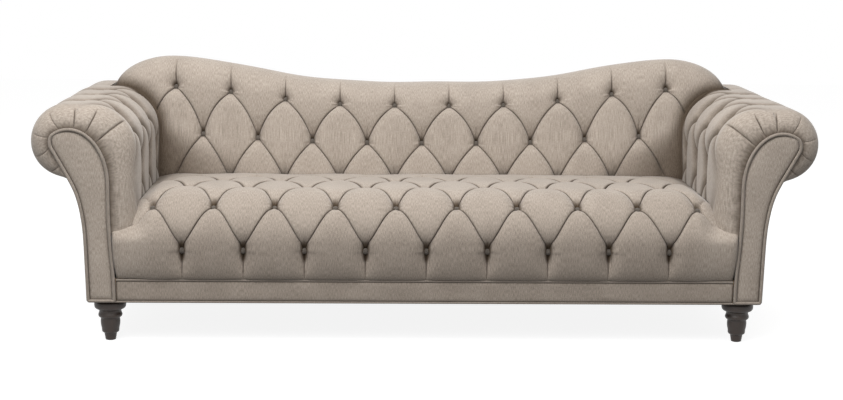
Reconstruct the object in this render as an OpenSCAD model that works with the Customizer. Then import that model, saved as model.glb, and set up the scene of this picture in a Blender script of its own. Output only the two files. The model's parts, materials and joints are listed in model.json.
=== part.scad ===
// Three-seat chesterfield sofa with rolled arms, a camel back and deep diamond tufting.
// Origin: on the floor under the middle of the sofa. +X is to the viewer's right, the front faces -Y.

/* [Overall] */
// Width over both arm rolls
sofa_w = 2440; // [2100:10:2900]
// Depth from the seat front to the outside back
sofa_d = 960; // [900:10:1100]
// Height of the two humps of the back
hump_h = 839; // [800:1:880]
// Height of the back in the middle, between the humps
dip_h = 755; // [730:1:785]
// Height of the arm rolls
arm_h = 742; // [715:1:770]
// Height of the seat crown
seat_h = 475; // [455:1:490]

/* [Arms] */
// Width of an arm from its inner face to the outside of its roll
arm_w = 322; // [312:1:340]
// Radius of the roll on the outside of an arm
roll_r = 113; // [108:1:120]
// Radius of the round top edge on the inner side of an arm
inner_r = 140; // [130:1:150]
// Radius over which the front edge of an arm rounds off
arm_front_r = 60; // [40:1:80]
// Spacing of the arm buttons along the arm
arm_pitch = 180; // [170:1:186]
// Spacing of the arm button rows over the arm, on the cover
arm_row_pitch = 168; // [160:1:174]
// Depth of the arm tufts
arm_tuft = 52; // [30:1:58]

/* [Back] */
// Thickness of the back at seat height, from its face to the outside back
back_thick = 305; // [275:5:335]
// Lean of the face of the back, in degrees
back_lean = 12; // [6:1:14]
// Width of the plain strip beside the last back buttons
back_side_w = 129.75; // [115:0.25:145]
// Height between the rows of back buttons
back_row_pitch = 127; // [118:0.5:134]
// Height of the top band of the back in the middle, above its last row of buttons
back_band = 72; // [64:1:82]
// Depth of the back tufts
back_tuft = 42; // [25:1:50]

/* [Seat] */
// Width of the plain strip beside the last seat buttons
seat_side_w = 110.25; // [98:0.25:128]
// Spacing of the seat button rows along the cover
seat_row_pitch = 165; // [155:1:170]
// Depth of the seat tufts
seat_tuft = 38; // [20:1:44]
// How far the seat front stands out past the arm fronts
seat_nose = 35; // [20:1:45]

/* [Base] */
// Height of the turned feet
foot_h = 128; // [100:1:150]
// Largest radius of a foot, at its top disc
foot_r = 49.5; // [42:0.5:52]
// Height of the seat rails
rail_h = 76; // [68:1:84]
// Thickness of the seat rails
rail_t = 32; // [26:1:36]

/* [Covering] */
// Thickness of the padded outside panels
cover_t = 12; // [10:0.5:14]
// Radius of the welt cord around the arm fronts
welt_r = 5; // [3.5:0.5:6]
// Radius of a covered button
button_r = 10.5; // [8:0.5:13]

/* [Hidden] */

// Fit between parts that lie against each other
fit = 0.3;
// Clearance between two soft parts
soft_gap = 1.5;
seam = 1;

// Depths are measured from the plane of the arm fronts towards the back
front_y = seat_nose - sofa_d / 2;
rear_depth = sofa_d - seat_nose;
half_w = sofa_w / 2;
back_face = rear_depth - back_thick;
crest_rear = 145;
crest_depth = rear_depth - crest_rear;

// Levels of the base
dust_t = 1.5;
base_z = foot_h + dust_t;
deck_z = base_z + rail_h;
hem_r = 3.5;
cover_z = base_z + 2 * hem_r;

// Depths of the frame, from the front to the back
board_t = 25;
board_front = cover_t;
board_back = board_front + board_t;
panel_depth = rear_depth - cover_t;
rear_board = panel_depth - board_t;
back_rail_front = rear_board - rail_t;

// Outline of the arm front, which the boards, burlap and outside arms follow
facing_base_in = 67;
facing_in = 80;
facing_out_w = 175;
head_in = 125;
head_drop = 73;
head_r = 40;
head_lean = 17;
shoulder_drop = 242;
knee_drop = 384;
neck_in = 145;
neck_drop = 267;
waist_in = 168;
inner_x = half_w - arm_w;
facing_base_x = inner_x + facing_base_in;
facing_x = inner_x + facing_in;
facing_out_x = half_w - facing_out_w;
head_x = half_w - head_in;
head_top = arm_h - head_drop;
shoulder_z = arm_h - shoulder_drop;
knee_z = arm_h - knee_drop;
neck_x = half_w - neck_in;
neck_z = arm_h - neck_drop;
waist_x = half_w - waist_in;

// Section of the arm: a straight inner face, a round inner edge, a flat and the outer roll
arm_below_seat = 35;
arm_bottom = seat_h - arm_below_seat;
arm_inner_x = inner_x + inner_r;
arm_inner_z = arm_h - inner_r;
roll_x = half_w - roll_r;
roll_z = arm_h - roll_r;
roll_end = -88;
arm_len_a = arm_inner_z - arm_bottom;
arm_len_b = PI * inner_r / 2;
arm_len_c = roll_x - arm_inner_x;
arm_len_d = PI * roll_r * (90 - roll_end) / 180;
arm_len = arm_len_a + arm_len_b + arm_len_c + arm_len_d;
arm_row_first = 75;
arm_col_first = arm_pitch / 6 * 4;
arm_front_steps = 3;
arm_rear_r = 30;

// Places along the seat cover, from the border up the front and over to the back
nose_rise = 120;
crown_depth = 175;
seat_row_first = 103;
seat_fall = 26;
seat_half = facing_base_x - welt_r - soft_gap;
seat_wide = facing_x - welt_r - soft_gap;
seat_end = back_face - soft_gap;
seat_pad_t = 90;
seat_front_t = 50;
seat_top_z = seat_h - seat_pad_t;
seat_inner_depth = seat_front_t - seat_nose;
seat_len_a = PI * (seat_nose + nose_rise) / 4;
seat_len_b = PI * (crown_depth + seat_h - deck_z - nose_rise) / 4;
seat_len_c = seat_end + seat_nose - crown_depth;
seat_len = seat_len_a + seat_len_b + seat_len_c;
seat_last_col = seat_half - seat_side_w;
seat_pitch = seat_last_col / 4.5;

// Back: rows of buttons, top band and the camel line
back_below_seat = 67;
hump_in = 350;
shoulder_in = 155;
shoulder_rise = 3;
back_bottom = seat_h - back_below_seat;
back_row_first = dip_h - back_band - 2 * back_row_pitch;
back_first_v = (back_bottom - back_row_first) / back_row_pitch;
hump_x = half_w - hump_in;
shoulder_x = half_w - shoulder_in;
shoulder_top = arm_h + shoulder_rise;
camel_power = 1.6;
band_share = 0.72;
back_side = facing_x;
back_last_col = back_side - back_side_w;
back_pitch = back_last_col / 4.5;
back_pad_t = 75;
top_rail_drop = 71;
back_lip = 98;

/* The tufted surface */

// How far a point stands out of its tuft, from 0 at a button to 1 on the crown of a diamond
pleat_share = 0.5;
function wave(t) = let (f = t - floor(t)) 4 * f * (1 - f);
function puff_ab(a, b) = pleat_share * (a + b - a * b) + (1 - pleat_share) * sqrt(a * b);
function puff(u, v) = puff_ab(wave(u + v / 2), wave(u - v / 2));
function smooth(t) = let (c = max(0, min(1, t))) c * c * (3 - 2 * c);
function mix(a, b, t) = a + (b - a) * t;

// Past the first or last row of buttons, straight pleats run on and fade out
function puff_edge(u, over, fade) =
    let (row = puff_ab(wave(u), wave(u)))
    let (straight = 1 - 0.45 * (1 - smooth(over / fade)) * (1 - sqrt(wave(u))))
    mix(row, straight, smooth(2.2 * over));
function puff_rows(u, v, v_first, v_last, fade) =
    v < v_first ? puff_edge(u + v_first / 2, v_first - v, fade)
    : v > v_last ? puff_edge(u + v_last / 2, v - v_last, fade)
    : puff(u, v);

// Rise of the cover from a button to the next point of the lattice, as a share of the tuft
first_rise = puff(1 / 6, 0);
function button_lift(depth, pitch, r) = depth * first_rise * r / (pitch / 6) + fit;

// Joins rings of equal counts into one closed solid. A ring's first outer_count points are its outside,
// the others run back along its inside, and the ends join the two.
module loft(rings, outer_count) {
    count = len(rings[0]);
    n = outer_count - 1;
    m = count - outer_count - 1;
    function inner(i) = count - 1 - round(i * m / n);
    last = len(rings) - 1;
    points = [for (ring = rings) for (p = ring) p];
    sides = [
        for (j = [0:last - 1]) for (i = [0:count - 1])
            let (n = (i + 1) % count)
            let (a = j * count + i, b = j * count + n, c = a + count, d = b + count)
            for (f = (i + j) % 2 == 0 ? [[a, c, d], [a, d, b]] : [[a, c, b], [b, c, d]]) f
    ];
    low = [
        for (i = [0:n - 1]) each [
            [inner(i), i, i + 1],
            if (inner(i + 1) != inner(i)) [inner(i), i + 1, inner(i + 1)]
        ]
    ];
    high = [for (f = low) [for (k = [2:-1:0]) last * count + f[k]]];
    polyhedron(points, concat(sides, low, high), convexity = 10);
}

// A closed tube along a path, with its sides across the given axis
module tube(path, r, axis, sides = 6) {
    last = len(path) - 1;
    function along(i) = let (d = path[min(i + 1, last)] - path[max(i - 1, 0)]) d / norm(d);
    rings = [
        for (i = [0:last])
            let (t = along(i), s = cross(t, axis))
            [for (k = [0:sides - 1]) path[i] + r * (cos(360 * k / sides) * axis + sin(360 * k / sides) * s)]
    ];
    loft(rings, sides - 1);
}

// Mirrors a right-hand part to the left
module to_left() {
    mirror([1, 0, 0]) children();
}

// A board in the XZ plane between two depths
module board(points, depth_a, depth_b) {
    translate([0, front_y + depth_b, 0]) rotate([90, 0, 0]) linear_extrude(depth_b - depth_a) polygon(points);
}

// A box between two corners, with depths in place of y
module block(a, b) {
    translate([a[0], front_y + a[1], a[2]]) cube(b - a);
}

/* The arm front outline */

// Inner side and head, as a function of the way up the arm cover
function facing_inner(t) = [head_x - (head_x - facing_x) * cos(90 * t), mix(shoulder_z, head_top, sin(90 * t))];
head_z = head_top - head_r;
head_end = -26;
head_in_x = head_x + head_lean;
function facing_head(t) = let (a = mix(90, head_end, t))
    [mix(head_x, head_in_x, min(1, 2 * t)) + head_r * cos(a), head_z + head_r * sin(a)];
facing_head_end = facing_head(1);
under_roll = [
    mix(neck_x, facing_head_end[0], 0.9 * (roll_z - roll_r - neck_z) / (facing_head_end[1] - neck_z)),
    roll_z - roll_r - fit
];
function facing_outer() = [
    (facing_head_end + under_roll) / 2,
    under_roll,
    [neck_x, neck_z],
    [mix(neck_x, waist_x, 0.58), mix(neck_z, knee_z, 0.42)],
    [waist_x, knee_z],
    [mix(waist_x, facing_out_x, 0.5), mix(knee_z, cover_z, 0.5)],
    [facing_out_x, cover_z]
];
function facing_side() = [[facing_base_x, cover_z], [facing_base_x, deck_z], [facing_x, knee_z]];
arc_steps = 8;
function facing() = concat(
    facing_side(),
    [for (i = [0:arc_steps]) facing_inner(i / arc_steps)],
    [for (i = [1:arc_steps]) facing_head(i / arc_steps)],
    facing_outer()
);

// The same outline drawn in by a wall, each corner moved along its own bisector
function unit(v) = v / norm(v);
function drawn_in(points, wall) = [
    for (i = [0:len(points) - 1])
        let (n = len(points))
        let (a = unit(points[i] - points[(i + n - 1) % n]), b = unit(points[(i + 1) % n] - points[i]))
        let (side = unit([a[1] + b[1], -a[0] - b[0]]))
        points[i] + side * wall / max(0.5, a * b + 1) * norm([a[1] + b[1], -a[0] - b[0]])
];

// The drawn-in outline reaches down to the base, where the boards stand
function board_outline(wall) =
    let (inside = drawn_in(facing(), wall), n = len(inside))
    concat(
        [[inside[1][0], base_z]],
        [for (i = [1:n - 2]) inside[i]],
        [[facing_out_x - wall - seam, base_z]]
    );

module arm_board(depth_a, depth_b) {
    board(board_outline(cover_t + fit), depth_a, depth_b);
}

/* Frame */

board_in_x = facing_base_x + cover_t;
module front_rail() {
    color("burlywood") block([-board_in_x, board_front, base_z], [board_in_x, board_front + rail_t, deck_z]);
}

module rear_rail() {
    color("burlywood") block([-board_in_x, panel_depth - rail_t, base_z], [board_in_x, panel_depth, deck_z]);
}

rail_gap = 3;
side_rail_x = facing_out_x - cover_t - rail_t - rail_gap;
seat_back_in = 35;
seat_back_depth = back_face + seat_back_in;
module seat_back_rail() {
    color("burlywood") block(
        [-side_rail_x, seat_back_depth, base_z],
        [side_rail_x, seat_back_depth + rail_t, deck_z]
    );
}

module side_rail() {
    color("burlywood") block([side_rail_x, board_back, base_z], [side_rail_x + rail_t, rear_board, deck_z]);
}

stretcher_h = rail_h * 0.65;
stretcher_x = sofa_w * 0.17;
module seat_stretchers() {
    for (x = [-stretcher_x, stretcher_x])
        color("burlywood") block(
            [x - rail_t / 2, board_front + rail_t, base_z],
            [x + rail_t / 2, seat_back_depth, base_z + stretcher_h]
        );
}

// Feet stand below the corner blocks and are held by hanger bolts
foot_in = 11;
foot_x = side_rail_x - foot_in;
foot_front = board_front + foot_r - rail_gap;
foot_rear = panel_depth - foot_r - rail_gap;
bolt_r = 4;
bolt_in_foot = 40;
nut_r = 9;
nut_h = 6;
bolt_in_block = rail_h + nut_h;
block_reach = 120;
module corner_block() {
    difference() {
        translate([0, 0, base_z]) linear_extrude(rail_h) polygon([
            [side_rail_x - block_reach, front_y + board_front + rail_t],
            [side_rail_x, front_y + board_front + rail_t],
            [side_rail_x, front_y + board_front + rail_t + block_reach]
        ]);
        foot_bolt(foot_front);
    }
}

module foot_bolt(depth) {
    translate([foot_x, front_y + depth, foot_h - bolt_in_foot])
        cylinder(h = bolt_in_foot + dust_t + bolt_in_block, r = bolt_r, $fn = 24);
}

module rear_corner_block() {
    difference() {
        translate([0, 0, base_z]) linear_extrude(rail_h) polygon([
            [side_rail_x - block_reach, front_y + panel_depth - rail_t],
            [side_rail_x, front_y + panel_depth - rail_t - block_reach],
            [side_rail_x, front_y + panel_depth - rail_t]
        ]);
        foot_bolt(foot_rear);
    }
}

module corner_blocks() {
    color("peru") {
        corner_block();
        rear_corner_block();
        to_left() corner_block();
        to_left() rear_corner_block();
    }
}

module arm_front_board() {
    color("tan") arm_board(board_front, board_back);
}

module arm_rear_board() {
    color("tan") arm_board(rear_board, panel_depth);
}

burlap_t = 2;
top_rail_w = 44;
top_rail_h = 28;
top_rail_drop_in = 12;
module arm_top_rail() {
    color("burlywood") block(
        [head_x - top_rail_w / 2, board_back, head_z - top_rail_drop_in - top_rail_h / 2],
        [head_x + top_rail_w / 2, rear_board, head_z - top_rail_drop_in + top_rail_h / 2]
    );
}

tack_rail_h = 50;
tack_rail_w = 26;
module arm_tack_rail() {
    color("burlywood") block(
        [facing_x + cover_t + burlap_t, board_back, knee_z],
        [facing_x + cover_t + burlap_t + tack_rail_w, rear_board, knee_z + tack_rail_h]
    );
}

// Burlap over the rails, from the tack rail up over the head to the outside of the arm
burlap_last = 2 + 2 * arc_steps;
module arm_burlap() {
    outer = drawn_in(facing(), cover_t);
    inner = drawn_in(facing(), cover_t + burlap_t);
    color("tan") board(
        concat([for (i = [2:burlap_last]) outer[i]], [for (i = [burlap_last:-1:2]) inner[i]]),
        board_back, back_rail_front - web_t
    );
}

// Webbing straps in front of the back rails
web_t = 2;
web_w = 60;
web_count = 9;
web_space = (2 * back_side - web_w) / (web_count - 1);

// Back posts stand between the straps
post_w = 48;
post_x = 1.5 * web_space;
under_pad = 12;
post_top = dip_h - back_lip - under_pad;
module back_posts() {
    for (x = [-post_x, 0, post_x])
        color("burlywood") block([x - post_w / 2, rear_board, deck_z], [x + post_w / 2, panel_depth, post_top]);
}

// Height of the top of the back over a point of its width
function camel(x) = let (a = abs(x))
    a < hump_x
    ? mix(dip_h, hump_h, 0.5 - 0.5 * cos(180 * pow(a / hump_x, camel_power)))
    : mix(shoulder_top, hump_h, sqrt(max(0, 1 - pow((a - hump_x) / (shoulder_x - hump_x), 2))));

back_rail_in = 40;
back_rail_end = facing_x + cover_t + back_rail_in;

// The inside of the back cover runs straight between its columns, and the rail follows it
back_inner_count = 16;
function inner_camel(x) =
    let (step = 2 * shoulder_x / back_inner_count, t = (x + shoulder_x) / step, k = floor(t))
    mix(camel(k * step - shoulder_x), camel((k + 1) * step - shoulder_x), t - k);
top_board_h = 130;
module back_top_rail() {
    knots = [for (x = inner_cols(shoulder_x)) if (abs(x) < back_rail_end) x];
    xs = concat([back_rail_end], knots, [-back_rail_end]);
    color("burlywood") board(
        concat(
            [for (x = xs) [x, inner_camel(x) - top_rail_drop - soft_gap]],
            [for (i = [len(xs) - 1:-1:0]) [xs[i], inner_camel(xs[i]) - top_rail_drop - top_board_h]]
        ),
        back_rail_front, rear_board
    );
}

back_tack_gap = 5;
back_tack_z = knee_z + tack_rail_h + back_tack_gap;
module back_tack_rail() {
    color("burlywood") block(
        [-back_rail_end, back_rail_front, back_tack_z],
        [back_rail_end, rear_board, back_tack_z + tack_rail_h]
    );
}

module back_webbing() {
    color("wheat") for (i = [0:web_count - 1])
        let (x = -back_side + web_w / 2 + i * web_space)
        block(
            [x - web_w / 2, back_rail_front - web_t, back_tack_z],
            [x + web_w / 2, back_rail_front, dip_h - top_rail_drop - web_w / 2]
        );
}

lean_slope = tan(back_lean);
lean_drop = 25;
lean_z = seat_h - lean_drop;
function back_depth(z) = back_face + max(0, z - lean_z) * lean_slope;
core_top = dip_h - back_band - under_pad;
module back_core_foam() {
    xs = back_side - soft_gap;
    color("khaki") translate([-xs, front_y, 0]) rotate([90, 0, 90]) linear_extrude(2 * xs) polygon([
        [back_depth(back_bottom) + back_pad_t + 2 * soft_gap, back_bottom],
        [back_rail_front - web_t, back_bottom],
        [back_rail_front - web_t, core_top],
        [back_depth(core_top) + back_pad_t + 2 * soft_gap, core_top],
        [back_depth(lean_z) + back_pad_t + 2 * soft_gap, lean_z]
    ]);
}

/* Seat springing */

spring_count = 9;
spring_wire = 4;
spring_w = 52;
spring_turn = 24;
clip_w = 18;
clip_t = 2;
spring_start = seat_inner_depth + clip_w / 2 + clip_t;
spring_end = seat_back_depth + rail_t / 2;
spring_turns = floor((spring_end - spring_start) / spring_turn);
spring_step = (spring_end - spring_start) / spring_turns;
spring_space = (2 * seat_half - 3 * spring_w) / (spring_count - 1);

// A zigzag spring as one flat bar: its left edge out and its right edge back
spring_slant = atan2(spring_step, spring_w);
module spring() {
    half = spring_wire / 2 / sin(spring_slant);
    side = [for (i = [0:spring_turns]) [(i % 2 == 0 ? -1 : 1) * spring_w / 2, spring_start + i * spring_step]];
    left = [for (p = side) [p[0] - half, p[1]]];
    right = [for (i = [spring_turns:-1:0]) [side[i][0] + half, side[i][1]]];
    translate([0, front_y, deck_z]) linear_extrude(spring_wire) polygon(concat(left, right));
}

module seat_springs() {
    color("gray") for (i = [0:spring_count - 1])
        translate([(i - (spring_count - 1) / 2) * spring_space, 0, 0]) spring();
}

module spring_clips() {
    color("silver") for (i = [0:spring_count - 1]) let (x = (i - (spring_count - 1) / 2) * spring_space) {
        translate([x - spring_w / 2, 0, 0]) clip(spring_start);
        translate([x + (spring_turns % 2 == 0 ? -1 : 1) * spring_w / 2, 0, 0]) clip(spring_end);
    }
}

module clip(depth) {
    block(
        [-clip_w / 2, depth - clip_w / 2, deck_z + spring_wire],
        [clip_w / 2, depth + clip_w / 2, deck_z + spring_wire + clip_t]
    );
}

wire_r = 1.5;
wire_half = spring_space * (spring_count - 1) / 2 + spring_w / 2;
module spring_tie_wires() {
    color("dimgray") for (share = [0.35, 0.68])
        translate([-wire_half, front_y + mix(spring_start, spring_end, share), deck_z + spring_wire + wire_r])
            rotate([0, 90, 0]) cylinder(h = 2 * wire_half, r = wire_r, $fn = 16);
}

insulator_z = deck_z + spring_wire + 2 * wire_r;
insulator_t = 3;
core_front = seat_inner_depth + fit;
core_back = seat_back_depth + rail_t;
core_half = seat_last_col;
module seat_insulator() {
    color("tan") block(
        [-wire_half, core_front, insulator_z],
        [wire_half, core_back, insulator_z + insulator_t]
    );
}

module seat_core_foam() {
    color("khaki") block(
        [-core_half, core_front, insulator_z + insulator_t],
        [core_half, core_back, seat_top_z - fit]
    );
}

/* Seat pad */

// Crown line of the seat cover: depth, height and the direction it faces
function seat_line(s) =
    s < seat_len_a ? let (t = 90 * s / seat_len_a)
        [-seat_nose * sin(t), deck_z + nose_rise * (1 - cos(t)), -1, 0]
    : s < seat_len_a + seat_len_b ? let (t = 90 * (s - seat_len_a) / seat_len_b)
        [-seat_nose + crown_depth * (1 - cos(t)), mix(deck_z + nose_rise, seat_h, sin(t)), -cos(t), sin(t)]
    : let (rest = s - seat_len_a - seat_len_b)
        [-seat_nose + crown_depth + rest, seat_h - seat_fall * pow(rest / seat_len_c, 2), 0, 1];

// Where the inside of the pad lies for the same place along the cover
seat_corner = seat_row_first + 2 * seat_row_pitch / 3;
function seat_inside(s) =
    s <= seat_corner
    ? [seat_inner_depth, mix(deck_z + fit, seat_top_z, s / seat_corner)]
    : [mix(seat_inner_depth, seat_end, (s - seat_corner) / (seat_len - seat_corner)), seat_top_z];

// The sides draw in and dip under the arms
seat_side_shares = [0.3, 0.65, 1];
seat_side_drops = [0.85, 1, 1];
seat_top_drop = 50;
seat_front_drop = 14;
function seat_edge(s) = mix(seat_half, seat_wide, smooth(s / seat_len_a));
function seat_cols(s) = concat(
    [for (i = [2:-1:0]) [-mix(seat_last_col, seat_edge(s), seat_side_shares[i]), seat_side_drops[i]]],
    [for (i = [-27:27]) [i * seat_pitch / 6, abs(i) > 25 ? 0.12 * (abs(i) - 25) : 0]],
    [for (i = [0:2]) [mix(seat_last_col, seat_edge(s), seat_side_shares[i]), seat_side_drops[i]]]
);
seat_row_count = 4;
seat_tail = 15;
seat_rows = concat(
    [0, seat_row_first / 2],
    [for (k = [0:3 * seat_row_count]) if (seat_row_first + k * seat_row_pitch / 3 < seat_len - seat_tail)
        seat_row_first + k * seat_row_pitch / 3],
    [seat_len]
);

function seat_depth(x, drop, s) =
    let (line = seat_line(s), v = (s - seat_row_first) / seat_row_pitch)
    let (out = puff_rows(x / seat_pitch, v, 0, seat_row_count, 0.9))
    seat_tuft * (1 - out) * (1 - drop) * (s == 0 ? 0 : 1) * (s == seat_len ? 0.5 : 1)
    + drop * mix(seat_front_drop, seat_top_drop, smooth(line[3] * 1.2));

module seat_pad() {
    rings = [
        for (s = seat_rows)
            let (line = seat_line(s), inside = seat_inside(s))
            concat(
                [for (c = seat_cols(s))
                    let (d = seat_depth(c[0], c[1], s))
                    [c[0], front_y + line[0] - line[2] * d, line[1] - line[3] * d + (s == 0 ? fit : 0)]],
                [[core_half, front_y + inside[0], inside[1]], [-core_half, front_y + inside[0], inside[1]]]
            )
    ];
    color("#b0a396") loft(rings, len(seat_cols(0)));
}

/* Back pad */

// Rows of the back: up the face by button rows, then round the top band, front and rear
back_rows_v = [back_first_v, 0.1, 1 / 3, 2 / 3, 1, 4 / 3, 5 / 3];
back_front_angles = [0, 22, 45, 68, 90];
back_rear_angles = [60, 30, 0];
back_outer_shares = [0.25, 0.5, 0.75, 0.9, 1];
function back_cols(edge) = concat(
    [for (i = [4:-1:0]) -mix(back_last_col, edge, back_outer_shares[i])],
    [for (i = [-27:27]) i * back_pitch / 6],
    [for (i = [0:4]) mix(back_last_col, edge, back_outer_shares[i])]
);

function band_rise(x) = band_share * (camel(x) - dip_h);
function back_z(x, v) = back_row_first + back_row_pitch * v + band_rise(x) * min(v / 2, 1);
function band_z(x) = dip_h - back_band + band_rise(x);

// A face point: x, depth, height and the direction it faces
function back_face_point(x, v) = let (z = max(back_bottom, back_z(x, v)))
    [x, back_depth(z), z, -cos(back_lean), sin(back_lean)];
function back_front_point(x, a) =
    let (d0 = back_depth(band_z(x)), out = mix(back_lean, 90, a / 90))
    [x, crest_depth - (crest_depth - d0) * cos(a), mix(band_z(x), camel(x), sin(a)), -cos(out), sin(out)];

// Lower edge of the cover at the rear: level below the crest, and over the roll ends at the shoulders
function lip_z(x) = let (side = abs(x) - roll_x)
    max(camel(x) - back_lip, roll_z + sqrt(max(0, pow(roll_end_r, 2) - side * side)) + 2 * hem_r + seam);
function back_rear_point(x, a) = [
    x, crest_depth + (rear_depth - crest_depth) * cos(a), mix(lip_z(x), camel(x), sin(a)), cos(a), sin(a)
];

// Sides of the back fall away behind the arms
function back_side_drop(x, edge) = let (t = (abs(x) - back_last_col) / (edge - back_last_col))
    t <= 0 ? 0 : 1 - sqrt(max(0, 1 - t * t));
back_side_r = 24;

function back_tuft_at(x, v, edge) =
    let (out = v > 2 ? puff_edge(x / back_pitch + 0.5, v - 2, 1.6) : puff(x / back_pitch + 0.5, v))
    let (calm = abs(x) > back_last_col ? 1 - smooth((abs(x) - back_last_col) / (edge - back_last_col)) : 1)
    back_tuft * (1 - out) * calm + back_side_r * back_side_drop(x, edge);

function pushed(p, d) = [p[0], front_y + p[1] - p[3] * d, p[2] - p[4] * d];
function inner_cols(edge) = [for (i = [back_inner_count:-1:0]) mix(-edge, edge, i / back_inner_count)];

module back_pad() {
    face_edge = back_side - soft_gap;
    face_rings = [
        for (v = back_rows_v)
            concat(
                [for (x = back_cols(face_edge)) pushed(back_face_point(x, v), back_tuft_at(x, v, face_edge))],
                [for (x = inner_cols(face_edge)) let (p = back_face_point(x, v))
                    [x, front_y + p[1] + back_pad_t, p[2]]]
            )
    ];
    front_rings = [
        for (a = back_front_angles)
            let (edge = mix(face_edge, shoulder_x, smooth(0.4 + a / 60)), t = a / 90)
            concat(
                [for (x = back_cols(edge))
                    pushed(back_front_point(x, a), back_tuft_at(x, 2 + t * 0.9, edge))],
                [for (x = inner_cols(edge)) [x,
                    front_y + mix(back_depth(band_z(x)) + back_pad_t, back_rail_front - fit, t),
                    mix(band_z(x), camel(x) - top_rail_drop, t)]]
            )
    ];
    rear_rings = [
        for (a = back_rear_angles)
            let (t = 1 - a / 90, first = min(1, 3 * t), then = max(0, t - 1 / 3) * 3 / 2)
            concat(
                [for (x = back_cols(shoulder_x))
                    pushed(back_rear_point(x, a), back_tuft_at(x, 2.9 + t, shoulder_x) * (1 - t))],
                [for (x = inner_cols(shoulder_x)) [x,
                    front_y + mix(back_rail_front - fit, rear_board + fit, first),
                    mix(camel(x) - top_rail_drop, lip_z(x), then)]]
            )
    ];
    color("#b0a396") loft(concat(face_rings, front_rings, rear_rings), len(back_cols(face_edge)));
}

/* Arm pads */

// Crown line of an arm: place in X and Z, and the direction it faces
function arm_line(s) =
    s < arm_len_a ? [inner_x, arm_bottom + s, -1, 0]
    : s < arm_len_a + arm_len_b ? let (t = 90 * (s - arm_len_a) / arm_len_b)
        [arm_inner_x - inner_r * cos(t), arm_inner_z + inner_r * sin(t), -cos(t), sin(t)]
    : s < arm_len_a + arm_len_b + arm_len_c ? [arm_inner_x + s - arm_len_a - arm_len_b, arm_h, 0, 1]
    : let (t = 90 - (s - arm_len_a - arm_len_b - arm_len_c) * 180 / PI / roll_r)
        [roll_x + roll_r * cos(t), roll_z + roll_r * sin(t), cos(t), sin(t)];

// The arm front outline at the same place over the arm, drawn in by a wall where asked
flat_end = arm_len_a + arm_len_b + arm_len_c;
facing_start = shoulder_z - arm_bottom;
function arm_facing(s) =
    s < facing_start ? [facing_x, arm_bottom + s]
    : s < flat_end ? facing_inner((s - facing_start) / (flat_end - facing_start))
    : let (t = (s - flat_end) / arm_len_d)
        t < 0.75 ? facing_head(t / 0.75)
        : mix(facing_head_end, under_roll + [0, fit], (t - 0.75) / 0.25);
function arm_core(s, wall) =
    let (p = arm_facing(s), a = arm_facing(max(0, s - 1)), b = arm_facing(min(arm_len, s + 1)))
    let (d = unit(b - a))
    p + [d[1], -d[0]] * wall;

// Past the first seam of the back, the inner part of an arm stops and only its roll runs on
arm_back_gap = 8;
function arm_stop(s) = back_depth(arm_line(s)[1]) - arm_back_gap;
arm_calm_gap = 20;
roll_row_gap = 14;
row_gap = 12;
col_gap = 10;
arm_calm = back_face - arm_calm_gap;
roll_row = flat_end - roll_row_gap;
arm_row_shares = [0.12, 0.24, 0.37, 0.5, 0.63, 0.76, 0.88, 1];
arm_rows = concat(
    [0, arm_row_first / 2],
    [for (k = [0:6]) arm_row_first + k * arm_row_pitch / 3],
    [roll_row - row_gap, roll_row],
    [for (share = arm_row_shares) mix(roll_row, arm_len, share)]
);
arm_last_col = panel_depth - arm_rear_r;
arm_col_count = floor(6 * panel_depth / arm_pitch);
arm_cols = concat(
    [for (i = [0:arm_front_steps]) arm_front_r * (1 - cos(90 * i / arm_front_steps))],
    [for (k = [3:arm_col_count])
        if (k * arm_pitch / 6 > arm_front_r + col_gap && k * arm_pitch / 6 < arm_last_col - 2 * arm_rear_r)
            k * arm_pitch / 6],
    [arm_last_col - arm_rear_r, arm_last_col, panel_depth - arm_rear_r * 0.3, panel_depth]
);

function arm_reach(depth, s) = let (stop = arm_stop(s))
    depth < stop || s > roll_row - seam ? depth : stop + (depth - stop) * 0.04;
function arm_tuft_at(depth, s) =
    let (u = (depth - arm_col_first) / arm_pitch, v = (s - arm_row_first) / arm_row_pitch - 1)
    let (out = v > 1 ? puff_edge(u + 0.5, v - 1, 1.6) : puff(u, v))
    let (calm = smooth((depth - 0.3 * arm_front_r) / (arm_col_first - 0.3 * arm_front_r)))
    let (rear = 1 - smooth((depth - arm_calm) / (arm_last_col - arm_calm)))
    let (low = s < arm_row_first ? s / arm_row_first : 1)
    let (end = 1 - smooth((s - mix(flat_end, arm_len, 0.55)) / (0.25 * arm_len_d)))
    arm_tuft * (1 - out) * calm * rear * low * end;

function arm_point(depth, s) =
    let (line = arm_line(s), face = arm_facing(s))
    let (round = depth < arm_front_r ? sin(acos(1 - depth / arm_front_r)) : 1)
    let (past = depth - arm_last_col)
    let (rear = past > 0 ? arm_rear_r * (1 - sqrt(max(0, 1 - pow(past / arm_rear_r, 2)))) : 0)
    let (thin = smooth((s - mix(flat_end, arm_len, 0.5)) / (0.45 * arm_len_d)))
    let (d = arm_tuft_at(depth, s) + rear * (s < roll_row - seam ? 0 : 1 - thin))
    [
        mix(face[0], line[0] - line[2] * d, round),
        front_y + arm_reach(depth, s),
        mix(face[1], line[1] - line[3] * d, round) - arm_sag(depth, s)
    ];

// The lower edge of an arm follows the round front edge of the seat down
arm_sag_h = 70;
arm_sag_depth = 140;
function arm_sag(depth, s) =
    arm_sag_h * pow(max(0, 1 - depth / arm_sag_depth), 2.2) * max(0, 1 - s / arm_row_first);

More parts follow.
